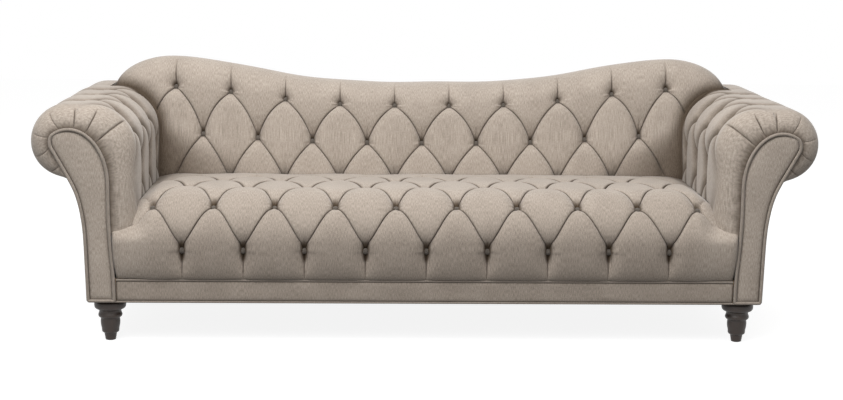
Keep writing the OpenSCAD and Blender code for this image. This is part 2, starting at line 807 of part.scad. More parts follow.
module arm_pad() {
    rings = [
        for (i = [len(arm_rows) - 1:-1:0])
            let (s = arm_rows[i], end = arm_reach(panel_depth, s))
            let (rear = arm_core(s, cover_t - soft_gap), front = arm_core(s, welt_r - 2 * fit))
            concat(
                [for (depth = arm_cols) arm_point(depth, s)],
                [[rear[0], front_y + end, rear[1]], [front[0], front_y + board_front, front[1]]]
            )
    ];
    color("#b0a396") loft(rings, len(arm_cols));
}

/* Outside covers */

module arm_front_panel() {
    outline = drawn_in(facing(), welt_r + fit);
    color("#ada093") board(outline, -welt_r * 0.6, board_front);
}

module arm_front_welt() {
    path = [for (p = facing()) [p[0], front_y - welt_r, p[1]]];
    color("#a89b8e") tube(path, welt_r, [0, 1, 0]);
}

// The outside arm lies over the boards, from under the roll down to the hem
under_roll_corner = 3 + 2 * arc_steps + 2;
module outside_arm() {
    outer = facing();
    inner = drawn_in(facing(), cover_t - fit);
    last = len(outer) - 1;
    color("#ada093") board(
        concat(
            [for (i = [under_roll_corner:last]) outer[i]],
            [for (i = [last:-1:under_roll_corner])
                [inner[i][0], max(cover_z, min(under_roll[1], inner[i][1]))]]
        ),
        board_front, panel_depth
    );
}

// Outside back: arm ends, roll ends and the camel line in one flat panel
roll_end_r = roll_r - arm_rear_r;
panel_top = back_lip + 2 * hem_r + seam;
panel_steps = 40;
function back_outline_right() = concat(
    [for (i = [len(facing()) - 1:-1:under_roll_corner + 1]) facing()[i]],
    [for (a = [-90:20:90]) [roll_x + roll_end_r * cos(a), roll_z + roll_end_r * sin(a)]]
);
panel_camel_x = roll_x - roll_end_r;
function back_outline() =
    let (right = back_outline_right())
    let (top = [for (i = [panel_steps:-1:0]) let (x = mix(-panel_camel_x, panel_camel_x, i / panel_steps))
        [x, min(camel(x), inner_camel(x)) - panel_top]])
    concat(right, top, [for (i = [len(right) - 1:-1:0]) [-right[i][0], right[i][1]]]);

module outside_back() {
    color("#ada093") board(back_outline(), panel_depth, rear_depth - 2 * hem_r);
}

module outside_back_welt() {
    path = [for (p = back_outline()) [p[0], front_y + rear_depth - hem_r, p[1]]];
    color("#a89b8e") tube(path, hem_r, [0, 1, 0]);
}

border_front = 3;
border_top = deck_z - 2 * hem_r;
module front_border() {
    color("#ada093") block([-seat_half, -border_front, cover_z], [seat_half, board_front, border_top]);
}

module seat_welt() {
    color("#a89b8e") translate([-seat_half, front_y - border_front + hem_r, border_top + hem_r])
        rotate([0, 90, 0]) cylinder(h = 2 * seat_half, r = hem_r, $fn = 24);
}

// The hem welt runs round the whole base, under the outside covers
hem_x = facing_out_x - hem_r;
hem_front = front_y + hem_r;
hem_back = front_y + panel_depth + hem_r;
module hem_run(a, b) {
    d = b - a;
    translate(a) rotate([0, 90, atan2(d[1], d[0])]) cylinder(h = norm(d), r = hem_r, $fn = 24);
    translate(a) sphere(r = hem_r, $fn = 24);
}

module hem_welt() {
    z = base_z + hem_r;
    corners = [[-hem_x, hem_front, z], [hem_x, hem_front, z], [hem_x, hem_back, z], [-hem_x, hem_back, z]];
    color("#a89b8e") for (i = [0:3]) hem_run(corners[i], corners[(i + 1) % 4]);
}

module dust_cover() {
    color("#2b2826") difference() {
        translate([-facing_out_x + cover_t, front_y + board_front, foot_h])
            cube([2 * (facing_out_x - cover_t), panel_depth - board_front, dust_t]);
        for (depth = [foot_front, foot_rear]) {
            foot_bolt(depth);
            to_left() foot_bolt(depth);
        }
    }
}

/* Buttons */

button_h = 5;
shank_r = 2;
button_arc = 3;
// A covered button with a domed face and a shank, its pit at the origin and its face up
module button(depth, pitch) {
    lift = 1.3 * button_lift(depth, pitch, button_r);
    low = button_lift(depth, pitch, shank_r);
    rim = lift + seam;
    dome = [
        for (i = [0:button_arc]) let (a = 90 * i / button_arc) [button_r * cos(a), rim + button_h * sin(a)]
    ];
    rotate_extrude($fn = 14)
        polygon(concat([[0, low], [shank_r, low], [shank_r, lift], [button_r, lift]], dome));
}

// Turns a button to face along a direction in the XZ or the YZ plane
module facing_yz(place, out) {
    translate(place) rotate([90 - atan2(out[1], -out[0]), 0, 0]) children();
}

module facing_xz(place, out) {
    translate(place) rotate([0, 90 - atan2(out[1], out[0]), 0]) children();
}

module seat_buttons() {
    color("#93877b") for (row = [0:seat_row_count])
        let (s = seat_row_first + row * seat_row_pitch, line = seat_line(s))
        if (s < seat_len - seat_tail) for (i = [-5:5])
            let (x = (i + (row % 2) / 2) * seat_pitch)
            if (abs(x) < seat_last_col + seam)
                facing_yz([x, front_y + line[0] - line[2] * seat_tuft * seat_calm(x),
                    line[1] - line[3] * seat_tuft * seat_calm(x)] - seat_sink(x, line), [line[2], line[3]])
                    button(seat_tuft, seat_pitch);
}

// The end columns of the seat are calmer and lie lower, as in the pad
function seat_calm(x) = abs(x) > 25.5 * seat_pitch / 6 ? 0.76 : 1;
function seat_sink(x, line) =
    let (drop = abs(x) > 25.5 * seat_pitch / 6 ? 0.24 : 0)
    let (d = drop * mix(seat_front_drop, seat_top_drop, smooth(line[3] * 1.2)))
    [0, line[2] * d, line[3] * d];

module back_buttons() {
    color("#93877b") for (row = [1, 2]) for (i = [-5:5])
        let (x = (i + (row % 2 == 0 ? 0.5 : 0)) * back_pitch)
        let (p = row == 2 ? back_front_point(x, 0) : back_face_point(x, row))
        if (abs(x) < back_last_col + seam)
            facing_yz(pushed(p, back_tuft), [p[3], p[4]]) button(back_tuft, back_pitch);
}

module arm_buttons() {
    color("#93877b") for (row = [0:2]) for (i = [0:3])
        let (s = arm_row_first + row * arm_row_pitch)
        let (depth = arm_col_first + (i + (row % 2 == 0 ? 0.5 : 0)) * arm_pitch)
        if (depth < arm_calm - arm_pitch / 12)
            let (line = arm_line(s), d = arm_tuft_at(depth, s))
            facing_xz([line[0] - line[2] * d, front_y + depth, line[1] - line[3] * d], [line[2], line[3]])
                button(arm_tuft, arm_pitch);
}

/* Feet and fasteners */

// Turned foot: half-profile as shares of its radius and height, top disc to floor tip
foot_shares = [
    [0, 1], [0.86, 1], [0.95, 0.975], [1, 0.93], [1, 0.85], [0.93, 0.8], [0.8, 0.775], [0.7, 0.76],
    [0.69, 0.72], [0.72, 0.68], [0.755, 0.65], [0.755, 0.615], [0.7, 0.58], [0.6, 0.565], [0.6, 0.53],
    [0.62, 0.47], [0.6, 0.38], [0.55, 0.3], [0.545, 0.225], [0.5, 0.2], [0.4, 0.185], [0.39, 0.16],
    [0.34, 0.05], [0.32, 0], [0, 0]
];
module foot(depth) {
    color("#2e2018") difference() {
        translate([foot_x, front_y + depth, 0]) rotate_extrude($fn = 48)
            polygon([for (p = foot_shares) [p[0] * foot_r, p[1] * foot_h]]);
        foot_bolt(depth);
    }
}

module hanger_bolts() {
    color("silver") for (depth = [foot_front, foot_rear]) {
        foot_bolt(depth);
        to_left() foot_bolt(depth);
    }
}

// Nuts on the hanger bolts, on top of the corner blocks
module foot_nut(depth) {
    difference() {
        translate([foot_x, front_y + depth, deck_z]) cylinder(h = nut_h, r = nut_r, $fn = 6);
        foot_bolt(depth);
    }
}

module foot_nuts() {
    color("silver") for (depth = [foot_front, foot_rear]) {
        foot_nut(depth);
        to_left() foot_nut(depth);
    }
}

screw_head_r = 5;
screw_head_t = web_t;
module frame_screws() {
    color("silver") for (side = [-1, 1]) for (x = [post_x, back_rail_end - back_rail_in / 2])
        translate([side * x, front_y + back_rail_front - screw_head_t, back_tack_z + tack_rail_h / 2])
            rotate([-90, 0, 0]) cylinder(h = screw_head_t, r = screw_head_r, $fn = 24);
}

front_rail();
rear_rail();
seat_back_rail();
to_left() side_rail();  // left_side_rail
side_rail();  // right_side_rail
seat_stretchers();
corner_blocks();
to_left() arm_front_board();  // left_arm_front_board
arm_front_board();  // right_arm_front_board
to_left() arm_rear_board();  // left_arm_rear_board
arm_rear_board();  // right_arm_rear_board
to_left() arm_top_rail();  // left_arm_top_rail
arm_top_rail();  // right_arm_top_rail
to_left() arm_tack_rail();  // left_arm_tack_rail
arm_tack_rail();  // right_arm_tack_rail
to_left() arm_burlap();  // left_arm_burlap
arm_burlap();  // right_arm_burlap
back_posts();
back_top_rail();
back_tack_rail();
back_webbing();
back_core_foam();
seat_springs();
spring_clips();
spring_tie_wires();
seat_insulator();
seat_core_foam();
seat_pad();
back_pad();
to_left() arm_pad();  // left_arm_pad
arm_pad();  // right_arm_pad
outside_back();
to_left() outside_arm();  // left_outside_arm
outside_arm();  // right_outside_arm
to_left() arm_front_panel();  // left_arm_front_panel
arm_front_panel();  // right_arm_front_panel
front_border();
dust_cover();
seat_welt();
hem_welt();
to_left() arm_front_welt();  // left_arm_front_welt
arm_front_welt();  // right_arm_front_welt
outside_back_welt();
seat_buttons();
back_buttons();
to_left() arm_buttons();  // left_arm_buttons
arm_buttons();  // right_arm_buttons
to_left() foot(foot_front);  // foot_front_left
foot(foot_front);  // foot_front_right
to_left() foot(foot_rear);  // foot_rear_left
foot(foot_rear);  // foot_rear_right
hanger_bolts();
foot_nuts();
frame_screws();
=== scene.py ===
"""Three-seat chesterfield in heathered taupe linen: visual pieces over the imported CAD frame.

Lengths are in metres. Depths run back from the plane of the arm fronts, so y is FRONT + depth.
"""

import functools
import json
import math

import bpy
import numpy as np
from mathutils import Matrix, Vector


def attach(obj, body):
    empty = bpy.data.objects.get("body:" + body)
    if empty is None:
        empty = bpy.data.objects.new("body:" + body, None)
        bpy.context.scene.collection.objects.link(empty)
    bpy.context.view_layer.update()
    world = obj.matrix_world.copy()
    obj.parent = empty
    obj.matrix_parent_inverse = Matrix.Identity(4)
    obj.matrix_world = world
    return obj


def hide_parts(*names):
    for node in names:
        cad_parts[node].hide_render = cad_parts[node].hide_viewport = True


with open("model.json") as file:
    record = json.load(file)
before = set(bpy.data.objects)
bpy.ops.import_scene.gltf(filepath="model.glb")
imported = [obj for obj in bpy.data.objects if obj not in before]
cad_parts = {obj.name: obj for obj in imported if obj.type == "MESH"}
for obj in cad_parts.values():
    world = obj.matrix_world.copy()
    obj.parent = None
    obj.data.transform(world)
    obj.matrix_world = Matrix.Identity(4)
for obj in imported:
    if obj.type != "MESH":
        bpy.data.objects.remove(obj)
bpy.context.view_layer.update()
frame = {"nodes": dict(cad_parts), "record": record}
rng = np.random.default_rng(18)

# Base, borders and welts, as in the CAD part
FRONT = -0.445
REAR = 0.925
BASE = 0.1295
HEM_R = 0.0035
WELT_R = 0.005
COVER_Z = BASE + 2 * HEM_R
DECK = 0.2055
COVER_T = 0.012
BORDER_INSET = 0.0015

# Seat
SEAT_H = 0.475
SEAT_FALL = 0.026
SEAT_NOSE = 0.035
NOSE_RISE = 0.12
CROWN_DEPTH = 0.175
SEAT_HALF = 0.9585
SEAT_WIDE = 0.9715
SEAT_END = 0.6185
SEAT_UNDER = 0.385
SEAT_FIRST = 0.103
SEAT_ROW = 0.165
SEAT_ROWS = 4
GAPS = 9
LAST_COL = 0.84825
PITCH = 2 * LAST_COL / GAPS

# Back
BACK_FACE = 0.62
BACK_SIDE = 0.9765
BACK_BOTTOM = 0.408
BACK_ROW = 0.127
BACK_BAND = 0.072
BAND_SHARE = 0.72
DIP_H = 0.755
HUMP_H = 0.839
HUMP_X = 0.87
HUMP_POWER = 1.6
SHOULDER_X = 1.065
SHOULDER_TOP = 0.745
LEAN = math.radians(12)
LEAN_Z = 0.45
CREST = 0.78
BACK_LIP = 0.098
SEAM = 0.008

# Arms
ARM_H = 0.742
ARM_BOTTOM = 0.44
INNER_X = 0.898
INNER_R = 0.14
ROLL_R = 0.113
ROLL_X = 1.107
ROLL_Z = 0.629
ROLL_END = math.radians(-88)
ROLL_END_R = 0.083
ARM_FRONT_R = 0.06
ARM_REAR_R = 0.03
ARM_PITCH = 0.18
ARM_ROW = 0.168
ARM_FIRST = 0.075
ARM_COL = 0.12
TUFTS_END = 0.7
PANEL_DEPTH = 0.913

# Outline of an arm front
FACING_BASE = 0.965
FACING_X = 0.978
FACING_OUT = 1.045
HEAD_X = 1.095
HEAD_TOP = 0.669
HEAD_R = 0.04
HEAD_LEAN = 0.017
HEAD_END = -26
SHOULDER_Z = 0.5
NECK = (1.075, 0.475)
WAIST = (1.052, 0.358)

# Feet
FOOT_H = 0.128
FOOT_R = 0.0495
FOOT_PLACES = {
    "front_left": (-0.987, -0.3865),
    "front_right": (0.987, -0.3865),
    "rear_left": (-0.987, 0.4155),
    "rear_right": (0.987, 0.4155),
}

# How deep the covers are drawn in at a button, and the share of it that the pleats keep
SEAT_TUFT = 0.036
BACK_TUFT = 0.042
ARM_TUFT = 0.052
SEAT_PLEAT = 0.3
BACK_PLEAT = 0.24
ARM_PLEAT = 0.34
PIT_POWER = 1.45

# A pleat: its slit, the painted shade line in it and the lip that lies over it; one set of pleats is weaker
WEAKER = 0.85
SLIT = 0.006
SLIT_W = 0.0016
LINE_W = 0.0017
LIP = 0.0012
LIP_EDGE = 0.0012
LIP_W = 0.008
STEP_EDGE = 0.0015
STEP_W = 0.02

# At a button: the fold above it, the small folds round it, and the size of what shows of it
TICK = 0.0045
TICK_W = 0.0024
TICK_LEN = 0.013
FOLD = 0.0014
FOLD_RING = 0.019
FOLD_RING_W = 0.011
FOLD_COUNT = 7
BUTTON_R = 0.0092

# How much painted shade each kind of crease gets, as shares of the crease shade colour
LINE_SHADE = 0.85
PIT_SHADE = 0.95
TICK_SHADE = 0.75


def mix(a, b, t):
    return a + (b - a) * t


def smooth(t):
    c = np.clip(t, 0, 1)
    return c * c * (3 - 2 * c)


def bell(t, width):
    """1 in the middle and near 0 two widths away, with a round top."""
    return np.exp(-np.square(t / width))


def fade(t, width):
    """1 in the middle and less on both sides, with a sharp top."""
    return np.exp(-np.abs(t) / width)


def wave(t):
    f = t - np.floor(t)
    return 4 * f * (1 - f)


def steps(start, end, per_unit):
    """Even places from start to end, with a given number to each unit."""
    return np.arange(round(start * per_unit), round(end * per_unit) + 1) / per_unit


def deepest(*creases):
    """The darkest of some creases at each point."""
    return functools.reduce(np.maximum, creases)


# Low, seeded unevenness of the stuffing, the same on each run
WAVES = [
    (rng.uniform(-26, 26), rng.uniform(-26, 26), rng.uniform(0, 6.3), rng.uniform(0.4, 1)) for _ in range(14)]


def uneven(x, y):
    """A smooth field of about -1 to 1 over two lengths."""
    return sum(w * np.sin(x * a + y * b + p) for a, b, p, w in WAVES) / 4.2


# The tufted surface

def lattice(cols, rows):
    """Grid points (u, v), drawn together near the pleats so that each fold has fine faces."""
    squeeze = 0.75 / (2 * math.pi)
    u, v = np.meshgrid(cols, rows)
    a = u + v / 2
    b = u - v / 2
    a = a - squeeze * np.sin(2 * math.pi * a)
    b = b - squeeze * np.sin(2 * math.pi * b)
    return (a + b) / 2, a - b


def pillow(t):
    """Height across one pleat: round and steep beside it, level on the crown."""
    c = np.clip(t, 0, 1)
    return np.sqrt(c * (2 - c))


def behind(off):
    """Painted shade on the side of a pleat that the fold before it keeps in shade."""
    return np.where(off > 0, bell(off, 0.031), fade(off, 0.0035))


def overlap(off, edge, width):
    """Up on one side of a pleat and down on the other."""
    return np.tanh(off / edge) * fade(off, width)


def gathers(u, v, pitch, row, seed):
    """A short fold above each button, and the small folds that run out from it, turned by the seed."""
    ra = np.round(u + v / 2)
    rb = np.round(u - v / 2)
    du = (u - (ra + rb) / 2) * pitch
    dv = (v - (ra - rb)) * row
    r = np.hypot(du, dv) + 1e-6
    turn = 2.4 * np.sin(ra * 3.7 + rb * 5.1 + seed)
    folds = np.cos(FOLD_COUNT * np.arctan2(dv, du) + turn) * bell(r - FOLD_RING, FOLD_RING_W)
    tick = bell(du, TICK_W) * smooth(dv / 0.004) * fade(np.maximum(dv, 0), TICK_LEN)
    return tick, folds


def tufted(u, v, pitch, row, tuft, pleat, seed=0.0, shade=0.0, thick=1.0, lap=0.0, spot=0.22):
    """Drop below the crown over the diamond lattice, and the painted shade at each place in a crease.

    A pleat runs where u + v / 2 or u - v / 2 is whole, and a button sits where both are. Shade paints one
    side of a pleat darker, thick widens its painted dark line, lap lifts one side over the other, and a
    higher spot makes the painted shade round a button smaller.
    """
    steep = math.hypot(1 / pitch, 0.5 / row)
    a = wave(u + v / 2)
    b = wave(u - v / 2)
    off_a = (u + v / 2 - np.round(u + v / 2)) / steep
    off_b = (u - v / 2 - np.round(u - v / 2)) / steep
    pit = np.power((1 - a) * (1 - b), PIT_POWER)
    valley = 1 - pillow(a) * pillow(b)
    slit = WEAKER * fade(off_a, SLIT_W) + fade(off_b, SLIT_W)
    lip = overlap(off_a, LIP_EDGE, LIP_W) * np.sqrt(b) - overlap(off_b, LIP_EDGE, LIP_W) * np.sqrt(a)
    step = overlap(off_a, STEP_EDGE, STEP_W) * np.sqrt(b) + overlap(off_b, STEP_EDGE, STEP_W) * np.sqrt(a)
    tick, folds = gathers(u, v, pitch, row, seed)
    drop = tuft * ((1 - pleat) * pit + pleat * valley) + SLIT * slit * (1 - pit)
    drop = drop - LIP * lip + TICK * tick + FOLD * folds + lap * step
    line = np.maximum(WEAKER * bell(off_a, LINE_W * thick), bell(off_b, LINE_W * thick))
    dark = deepest(
        np.minimum(1, 0.65 + 0.15 * thick) * line, PIT_SHADE * smooth((pit - spot) / 0.45),
        shade * np.maximum(behind(off_a), behind(off_b)), TICK_SHADE * tick)
    return drop, dark


def straight(u, over, pitch, tuft, reach, pleat, second=0.0, shade=0.0):
    """Straight pleats past the last row of buttons, over an amount in rows: drop and painted shade.

    Second is the strength of a lesser fold beside each pleat.
    """
    w = wave(u)
    off = (u - np.round(u)) * pitch
    pit = np.power(1 - w, 2.4) * bell(over, 0.22)
    valley = np.square(1 - w) * bell(over, 0.4)
    run = 1 - smooth(over / reach)
    away = 1 - bell(over, 0.2)
    beside = bell(off - 0.0065 - 0.004 * over, 0.0016)
    other = second * beside * smooth(over / 0.06) * (1 - smooth(over / 0.42))
    drop = tuft * ((1 - pleat) * pit + pleat * valley) + 0.004 * other
    drop = drop + run * (SLIT * fade(off, SLIT_W) * (1 - pit) + 0.006 * away * fade(off, 0.012))
    dark = deepest(
        LINE_SHADE * run * bell(off, 0.0019), PIT_SHADE * smooth((pit - 0.28) / 0.5),
        shade * run * behind(off), 0.4 * other)
    return drop, dark


def arch(v, bows):
    """Rows of buttons stay, and the pleats between them bow upwards by (amount, lean) per row."""
    k = np.clip(np.floor(v).astype(int), 0, len(bows) - 1)
    amount = np.array([bow[0] for bow in bows])[k]
    lean = np.array([bow[1] for bow in bows])[k]
    return v + amount * np.sin(math.pi * np.power(v - np.floor(v), lean))


# Meshes

def placed(name, mesh):
    """A new object with a mesh, at the origin of the scene."""
    obj = bpy.data.objects.new(name, mesh)
    bpy.context.scene.collection.objects.link(obj)
    return obj


def new_mesh(name, points, faces, uv=None):
    """An object from arrays of points and faces, with its cloth coordinates."""
    mesh = bpy.data.meshes.new(name)
    mesh.from_pydata(points, [], faces)
    if uv is not None:
        layer = mesh.uv_layers.new(name="cloth")
        index = np.zeros(len(mesh.loops), np.int32)
        mesh.loops.foreach_get("vertex_index", index)
        layer.data.foreach_set("uv", np.asarray(uv, np.float32)[index].ravel())
    mesh.polygons.foreach_set("use_smooth", [True] * len(mesh.polygons))
    mesh.update()
    return placed(name, mesh)


def grid_faces(rows, cols, start=0):
    i, j = np.meshgrid(np.arange(rows - 1), np.arange(cols - 1), indexing="ij")
    a = (start + i * cols + j).ravel()
    return np.stack([a, a + 1, a + cols + 1, a + cols], axis=1)


def pleated_faces(u, v):
    """Two triangles for each place of the grid, split along the pleat that runs nearest to it."""
    quads = grid_faces(*u.shape)
    a = (u + v / 2).ravel()[quads].mean(axis=1)
    b = (u - v / 2).ravel()[quads].mean(axis=1)
    down = (np.abs(a - np.round(a)) < np.abs(b - np.round(b)))[:, None]
    one = np.where(down, quads[:, [0, 1, 3]], quads[:, [0, 1, 2]])
    two = np.where(down, quads[:, [1, 2, 3]], quads[:, [0, 2, 3]])
    return np.concatenate([one, two])


def stitched(fine, coarse):
    """Triangles between a fine chain of points and a coarse one, both in the same direction."""
    out = []
    n = len(fine) - 1
    m = len(coarse) - 1
    j = 0
    for i in range(n):
        out.append((fine[i + 1], fine[i], coarse[j]))
        while j < m and (j + 1) * n <= (i + 1) * m:
            out.append((coarse[j], coarse[j + 1], fine[i + 1]))
            j += 1
    return out


def shell(name, outer, inner, uv, dark, flip=False, pleats=None):
    """A closed piece: a fine outer grid and a coarse inner one, joined along their four edges."""
    rows, cols = outer.shape[:2]
    low_rows, low_cols = inner.shape[:2]
    start = rows * cols
    points = np.concatenate([outer.reshape(-1, 3), inner.reshape(-1, 3)])
    faces = grid_faces(rows, cols).tolist() if pleats is None else pleated_faces(*pleats).tolist()
    faces += [f[::-1] for f in grid_faces(low_rows, low_cols, start).tolist()]
    at = np.arange(start).reshape(rows, cols)
    under = start + np.arange(low_rows * low_cols).reshape(low_rows, low_cols)
    faces += stitched(at[0], under[0])
    faces += stitched(at[:, -1], under[:, -1])
    faces += stitched(at[-1, ::-1], under[-1, ::-1])
    faces += stitched(at[::-1, 0], under[::-1, 0])
    if flip:
        faces = [tuple(f)[::-1] for f in faces]
    inner_uv = np.zeros((low_rows * low_cols, 2))
    obj = new_mesh(name, points.tolist(), faces, np.concatenate([uv.reshape(-1, 2), inner_uv]))
    # The crease attribute holds painted shade, which the cloth material darkens and dulls by
    layer = obj.data.attributes.new("crease", "FLOAT", "POINT")
    values = np.concatenate([np.clip(dark, 0, 1).ravel(), np.zeros(low_rows * low_cols)])
    layer.data.foreach_set("value", values.astype(np.float32))
    return obj


def repeated(grid, before, after):
    """A grid with its first and last columns repeated."""
    return np.pad(grid, ((0, 0), (before, after)), mode="edge")


def smoothed(path, rounds=2):
    """Cuts the corners of an open path, with its ends kept."""
    for _ in range(rounds):
        a = path[:-1] * 0.75 + path[1:] * 0.25
        b = path[:-1] * 0.25 + path[1:] * 0.75
        inner = np.stack([a, b], axis=1).reshape(-1, path.shape[1])
        path = np.concatenate([path[:1], inner[1:-1], path[-1:]])
    return path


def length_along(path):
    return np.concatenate([[0], np.cumsum(np.linalg.norm(np.diff(path, axis=0), axis=1))])


def resample(path, count):
    length = length_along(path)
    at = np.linspace(0, length[-1], count)
    return np.stack([np.interp(at, length, path[:, k]) for k in range(path.shape[1])], axis=1)


# Seat

LEN_A = math.pi * (SEAT_NOSE + NOSE_RISE) / 4
LEN_B = math.pi * (CROWN_DEPTH + SEAT_H - DECK - NOSE_RISE) / 4
LEN_C = SEAT_END + SEAT_NOSE - CROWN_DEPTH
SEAT_LEN = LEN_A + LEN_B + LEN_C
SEAT_BOWS = [(0.06, 1.8), (0.17, 1.0), (0.19, 1.0), (0.17, 1.0)]
SIDE_START = 0.25


def seat_line(s):
    """Crown line of the seat cover: depth, height and the way it faces."""
    ta = np.clip(s / LEN_A, 0, 1) * math.pi / 2
    tb = np.clip((s - LEN_A) / LEN_B, 0, 1) * math.pi / 2
    rest = np.maximum(s - LEN_A - LEN_B, 0)
    first = s < LEN_A
    depth = np.where(first, -SEAT_NOSE * np.sin(ta), CROWN_DEPTH * (1 - np.cos(tb)) + rest - SEAT_NOSE)
    nose = DECK + NOSE_RISE
    z = np.where(first, DECK + NOSE_RISE * (1 - np.cos(ta)), mix(nose, SEAT_H, np.sin(tb)))
    z = z - SEAT_FALL * np.square(rest / LEN_C)
    out = np.where(first, -1.0, -np.cos(tb))
    up = np.where(first, 0.0, np.sin(tb))
    return depth, z, out, up


def side_fall(s, up):
    """How far the seat falls at its sides, where it goes under the arms."""
    rest = np.maximum(s - LEN_A - LEN_B, 0)
    return mix(0.008, 0.052, smooth(up * 2)) - 0.036 * np.square(rest / LEN_C)


def seat_grid():
    """Places on the seat cover: across (x), in rows (v), up along it (s), and the edge at each height."""
    side = np.linspace(0, 1, 24)[1:]
    low_rows = np.linspace(0, 1, 41)[:-1]
    top_rows = np.linspace(0, 1, 18)[1:]
    u, v = lattice(steps(-GAPS / 2, GAPS / 2, 72), steps(0, SEAT_ROWS, 36))
    s = SEAT_FIRST + SEAT_ROW * arch(v, SEAT_BOWS)
    low_s = np.outer(low_rows, s[0])
    top_s = s[-1] + np.outer(top_rows, SEAT_LEN - s[-1])
    v = np.concatenate([(low_s - SEAT_FIRST) / SEAT_ROW, v, (top_s - SEAT_FIRST) / SEAT_ROW])
    u = np.concatenate([np.tile(u[0], (len(low_rows), 1)), u, np.tile(u[0], (len(top_rows), 1))])
    s = repeated(np.concatenate([low_s, s, top_s]), len(side), len(side))
    v = repeated(v, len(side), len(side))
    edge = mix(SEAT_HALF, SEAT_WIDE, smooth(s[:, :1] / LEN_A))
    left = -LAST_COL - side[::-1] * (edge - LAST_COL)
    right = LAST_COL + side * (edge - LAST_COL)
    return np.hstack([left, u * PITCH, right]), v, s, edge


def seat_cover():
    x, v, s, edge = seat_grid()
    u = x / PITCH
    thick = 1 + 1.7 * smooth((v - 0.9) / 1.5)
    above = np.maximum(v - SEAT_ROWS, 0)
    inside = tufted(u, v, PITCH, SEAT_ROW, SEAT_TUFT, SEAT_PLEAT, thick=thick)
    low_part = straight(u, np.maximum(-v, 0), PITCH, SEAT_TUFT, 0.85, SEAT_PLEAT, second=1.0)
    top_part = straight(u, above, PITCH, SEAT_TUFT, 0.5, SEAT_PLEAT)
    drop, dark = [np.select([v < 0, v > SEAT_ROWS], [a, c], b) for a, b, c in zip(low_part, inside, top_part)]

    # The sides fall away under the arms, and the front corners are rounded back behind the welt
    across = (np.abs(x) - LAST_COL) / (edge - LAST_COL)
    fall = smooth(np.interp(across, [-0.6, 0, 0.5, 1], [0, SIDE_START, 0.8, 1]))
    depth, z, out, up = seat_line(s)
    d = drop * (1 - fall) * np.minimum(s / 0.012, 1) + fall * side_fall(s, up)
    d = d + 0.0022 * uneven(x, s) * smooth(s / 0.05) * (1 - fall)
    place = depth - out * d
    round_off = 1 - np.sqrt(1 - np.square(np.clip((across - 0.76) / 0.24, 0, 1)))
    place = mix(place, np.maximum(place, 0.004), round_off)
    points = np.stack([x, FRONT + place, z - up * d], axis=2)
    points[0, :, 2] = DECK + 0.0003

    # Painted shade: at the seat welt, low on the front, at the sides and in the rear corners
    low_front_shade = 0.22 * (1 - smooth((s - 0.1) / 0.32)) * (1 - 0.8 * smooth((np.abs(x) - 0.76) / 0.16))
    by_arm = bell(np.maximum(0, 0.91 - np.abs(x)), 0.1)
    dark = deepest(
        dark * (1 - fall), 0.5 * fade(s, 0.0035), low_front_shade, 0.6 * smooth((across - 0.9) / 0.1),
        0.75 * by_arm * smooth((depth - 0.25) / 0.35))

    low_s = np.linspace(0, 1, 12)
    corner = (SEAT_FIRST + 2 * SEAT_ROW / 3) / SEAT_LEN
    in_depth = np.where(low_s < corner, 0.015, mix(0.015, SEAT_END, (low_s - corner) / (1 - corner)))
    in_z = np.where(low_s < corner, mix(DECK + 0.0003, SEAT_UNDER, low_s / corner), SEAT_UNDER)
    inner = [[(wide, FRONT + a, b) for wide in (-LAST_COL, LAST_COL)] for a, b in zip(in_depth, in_z)]
    return shell("seat_cover", points, np.array(inner), np.stack([x, s], axis=2), dark, pleats=(u, v))


def seat_button_places():
    """Button places on the crown and the way each faces."""
    out = []
    fall = float(smooth(SIDE_START))
    for row in range(SEAT_ROWS + 1):
        s = SEAT_FIRST + row * SEAT_ROW
        depth, z, back, up = [float(t) for t in seat_line(np.array(s))]
        for x in row_places(row % 2 == 0):
            at_side = abs(x) > LAST_COL - PITCH / 4
            d = mix(SEAT_TUFT, float(side_fall(s, up)), fall) if at_side else SEAT_TUFT
            out.append(((x, FRONT + depth - back * d, z - up * d), (0, back, up)))
    return out


def row_places(centred):
    """Buttons of one row across the sofa, with one in the middle or a gap there."""
    places = [(i + (0 if centred else 0.5)) * PITCH for i in range(-5, 6)]
    return [x for x in places if abs(x) < LAST_COL + 0.001]


# Back

BACK_FIRST = DIP_H - BACK_BAND - 2 * BACK_ROW
BACK_BOWS = [(0.1, 0.85), (0.18, 0.75), (0.0, 1.0)]


def camel(x):
    """Height of the back over the width of the sofa."""
    a = np.abs(x)
    inner = mix(DIP_H, HUMP_H, 0.5 - 0.5 * np.cos(math.pi * np.power(np.minimum(a / HUMP_X, 1), HUMP_POWER)))
    t = np.clip((a - HUMP_X) / (SHOULDER_X - HUMP_X), 0, 1)
    outer = mix(SHOULDER_TOP, HUMP_H, np.sqrt(1 - t * t))
    return np.where(a < HUMP_X, inner, outer)


def back_depth(z):
    return BACK_FACE + np.maximum(0, z - LEAN_Z) * math.tan(LEAN)


def band_rise(x):
    """How far the last row of buttons follows the humps."""
    return BAND_SHARE * (camel(x) - DIP_H)


def lip_z(x):
    """Lower edge of the cover behind the back, above the arms' rolls."""
    side = np.abs(x) - ROLL_X
    over = ROLL_Z + np.sqrt(np.maximum(0, ROLL_END_R ** 2 - side * side)) + SEAM
    return np.maximum(camel(x) - BACK_LIP, over)


def corner_shade(points):
    """Painted shade on the back beside the arms: wide and deep at the seat, narrow at the top."""
    beside = INNER_X + INNER_R - np.abs(points[:, :, 0])
    above = points[:, :, 2] - ARM_H + INNER_R
    gap = np.maximum(0, np.hypot(np.maximum(0, beside), np.maximum(0, above)) - INNER_R)
    width = mix(0.24, 0.03, smooth((points[:, :, 2] - 0.43) / 0.2))
    return 0.1 * fade(gap, 0.012) + 0.82 * bell(gap, width)


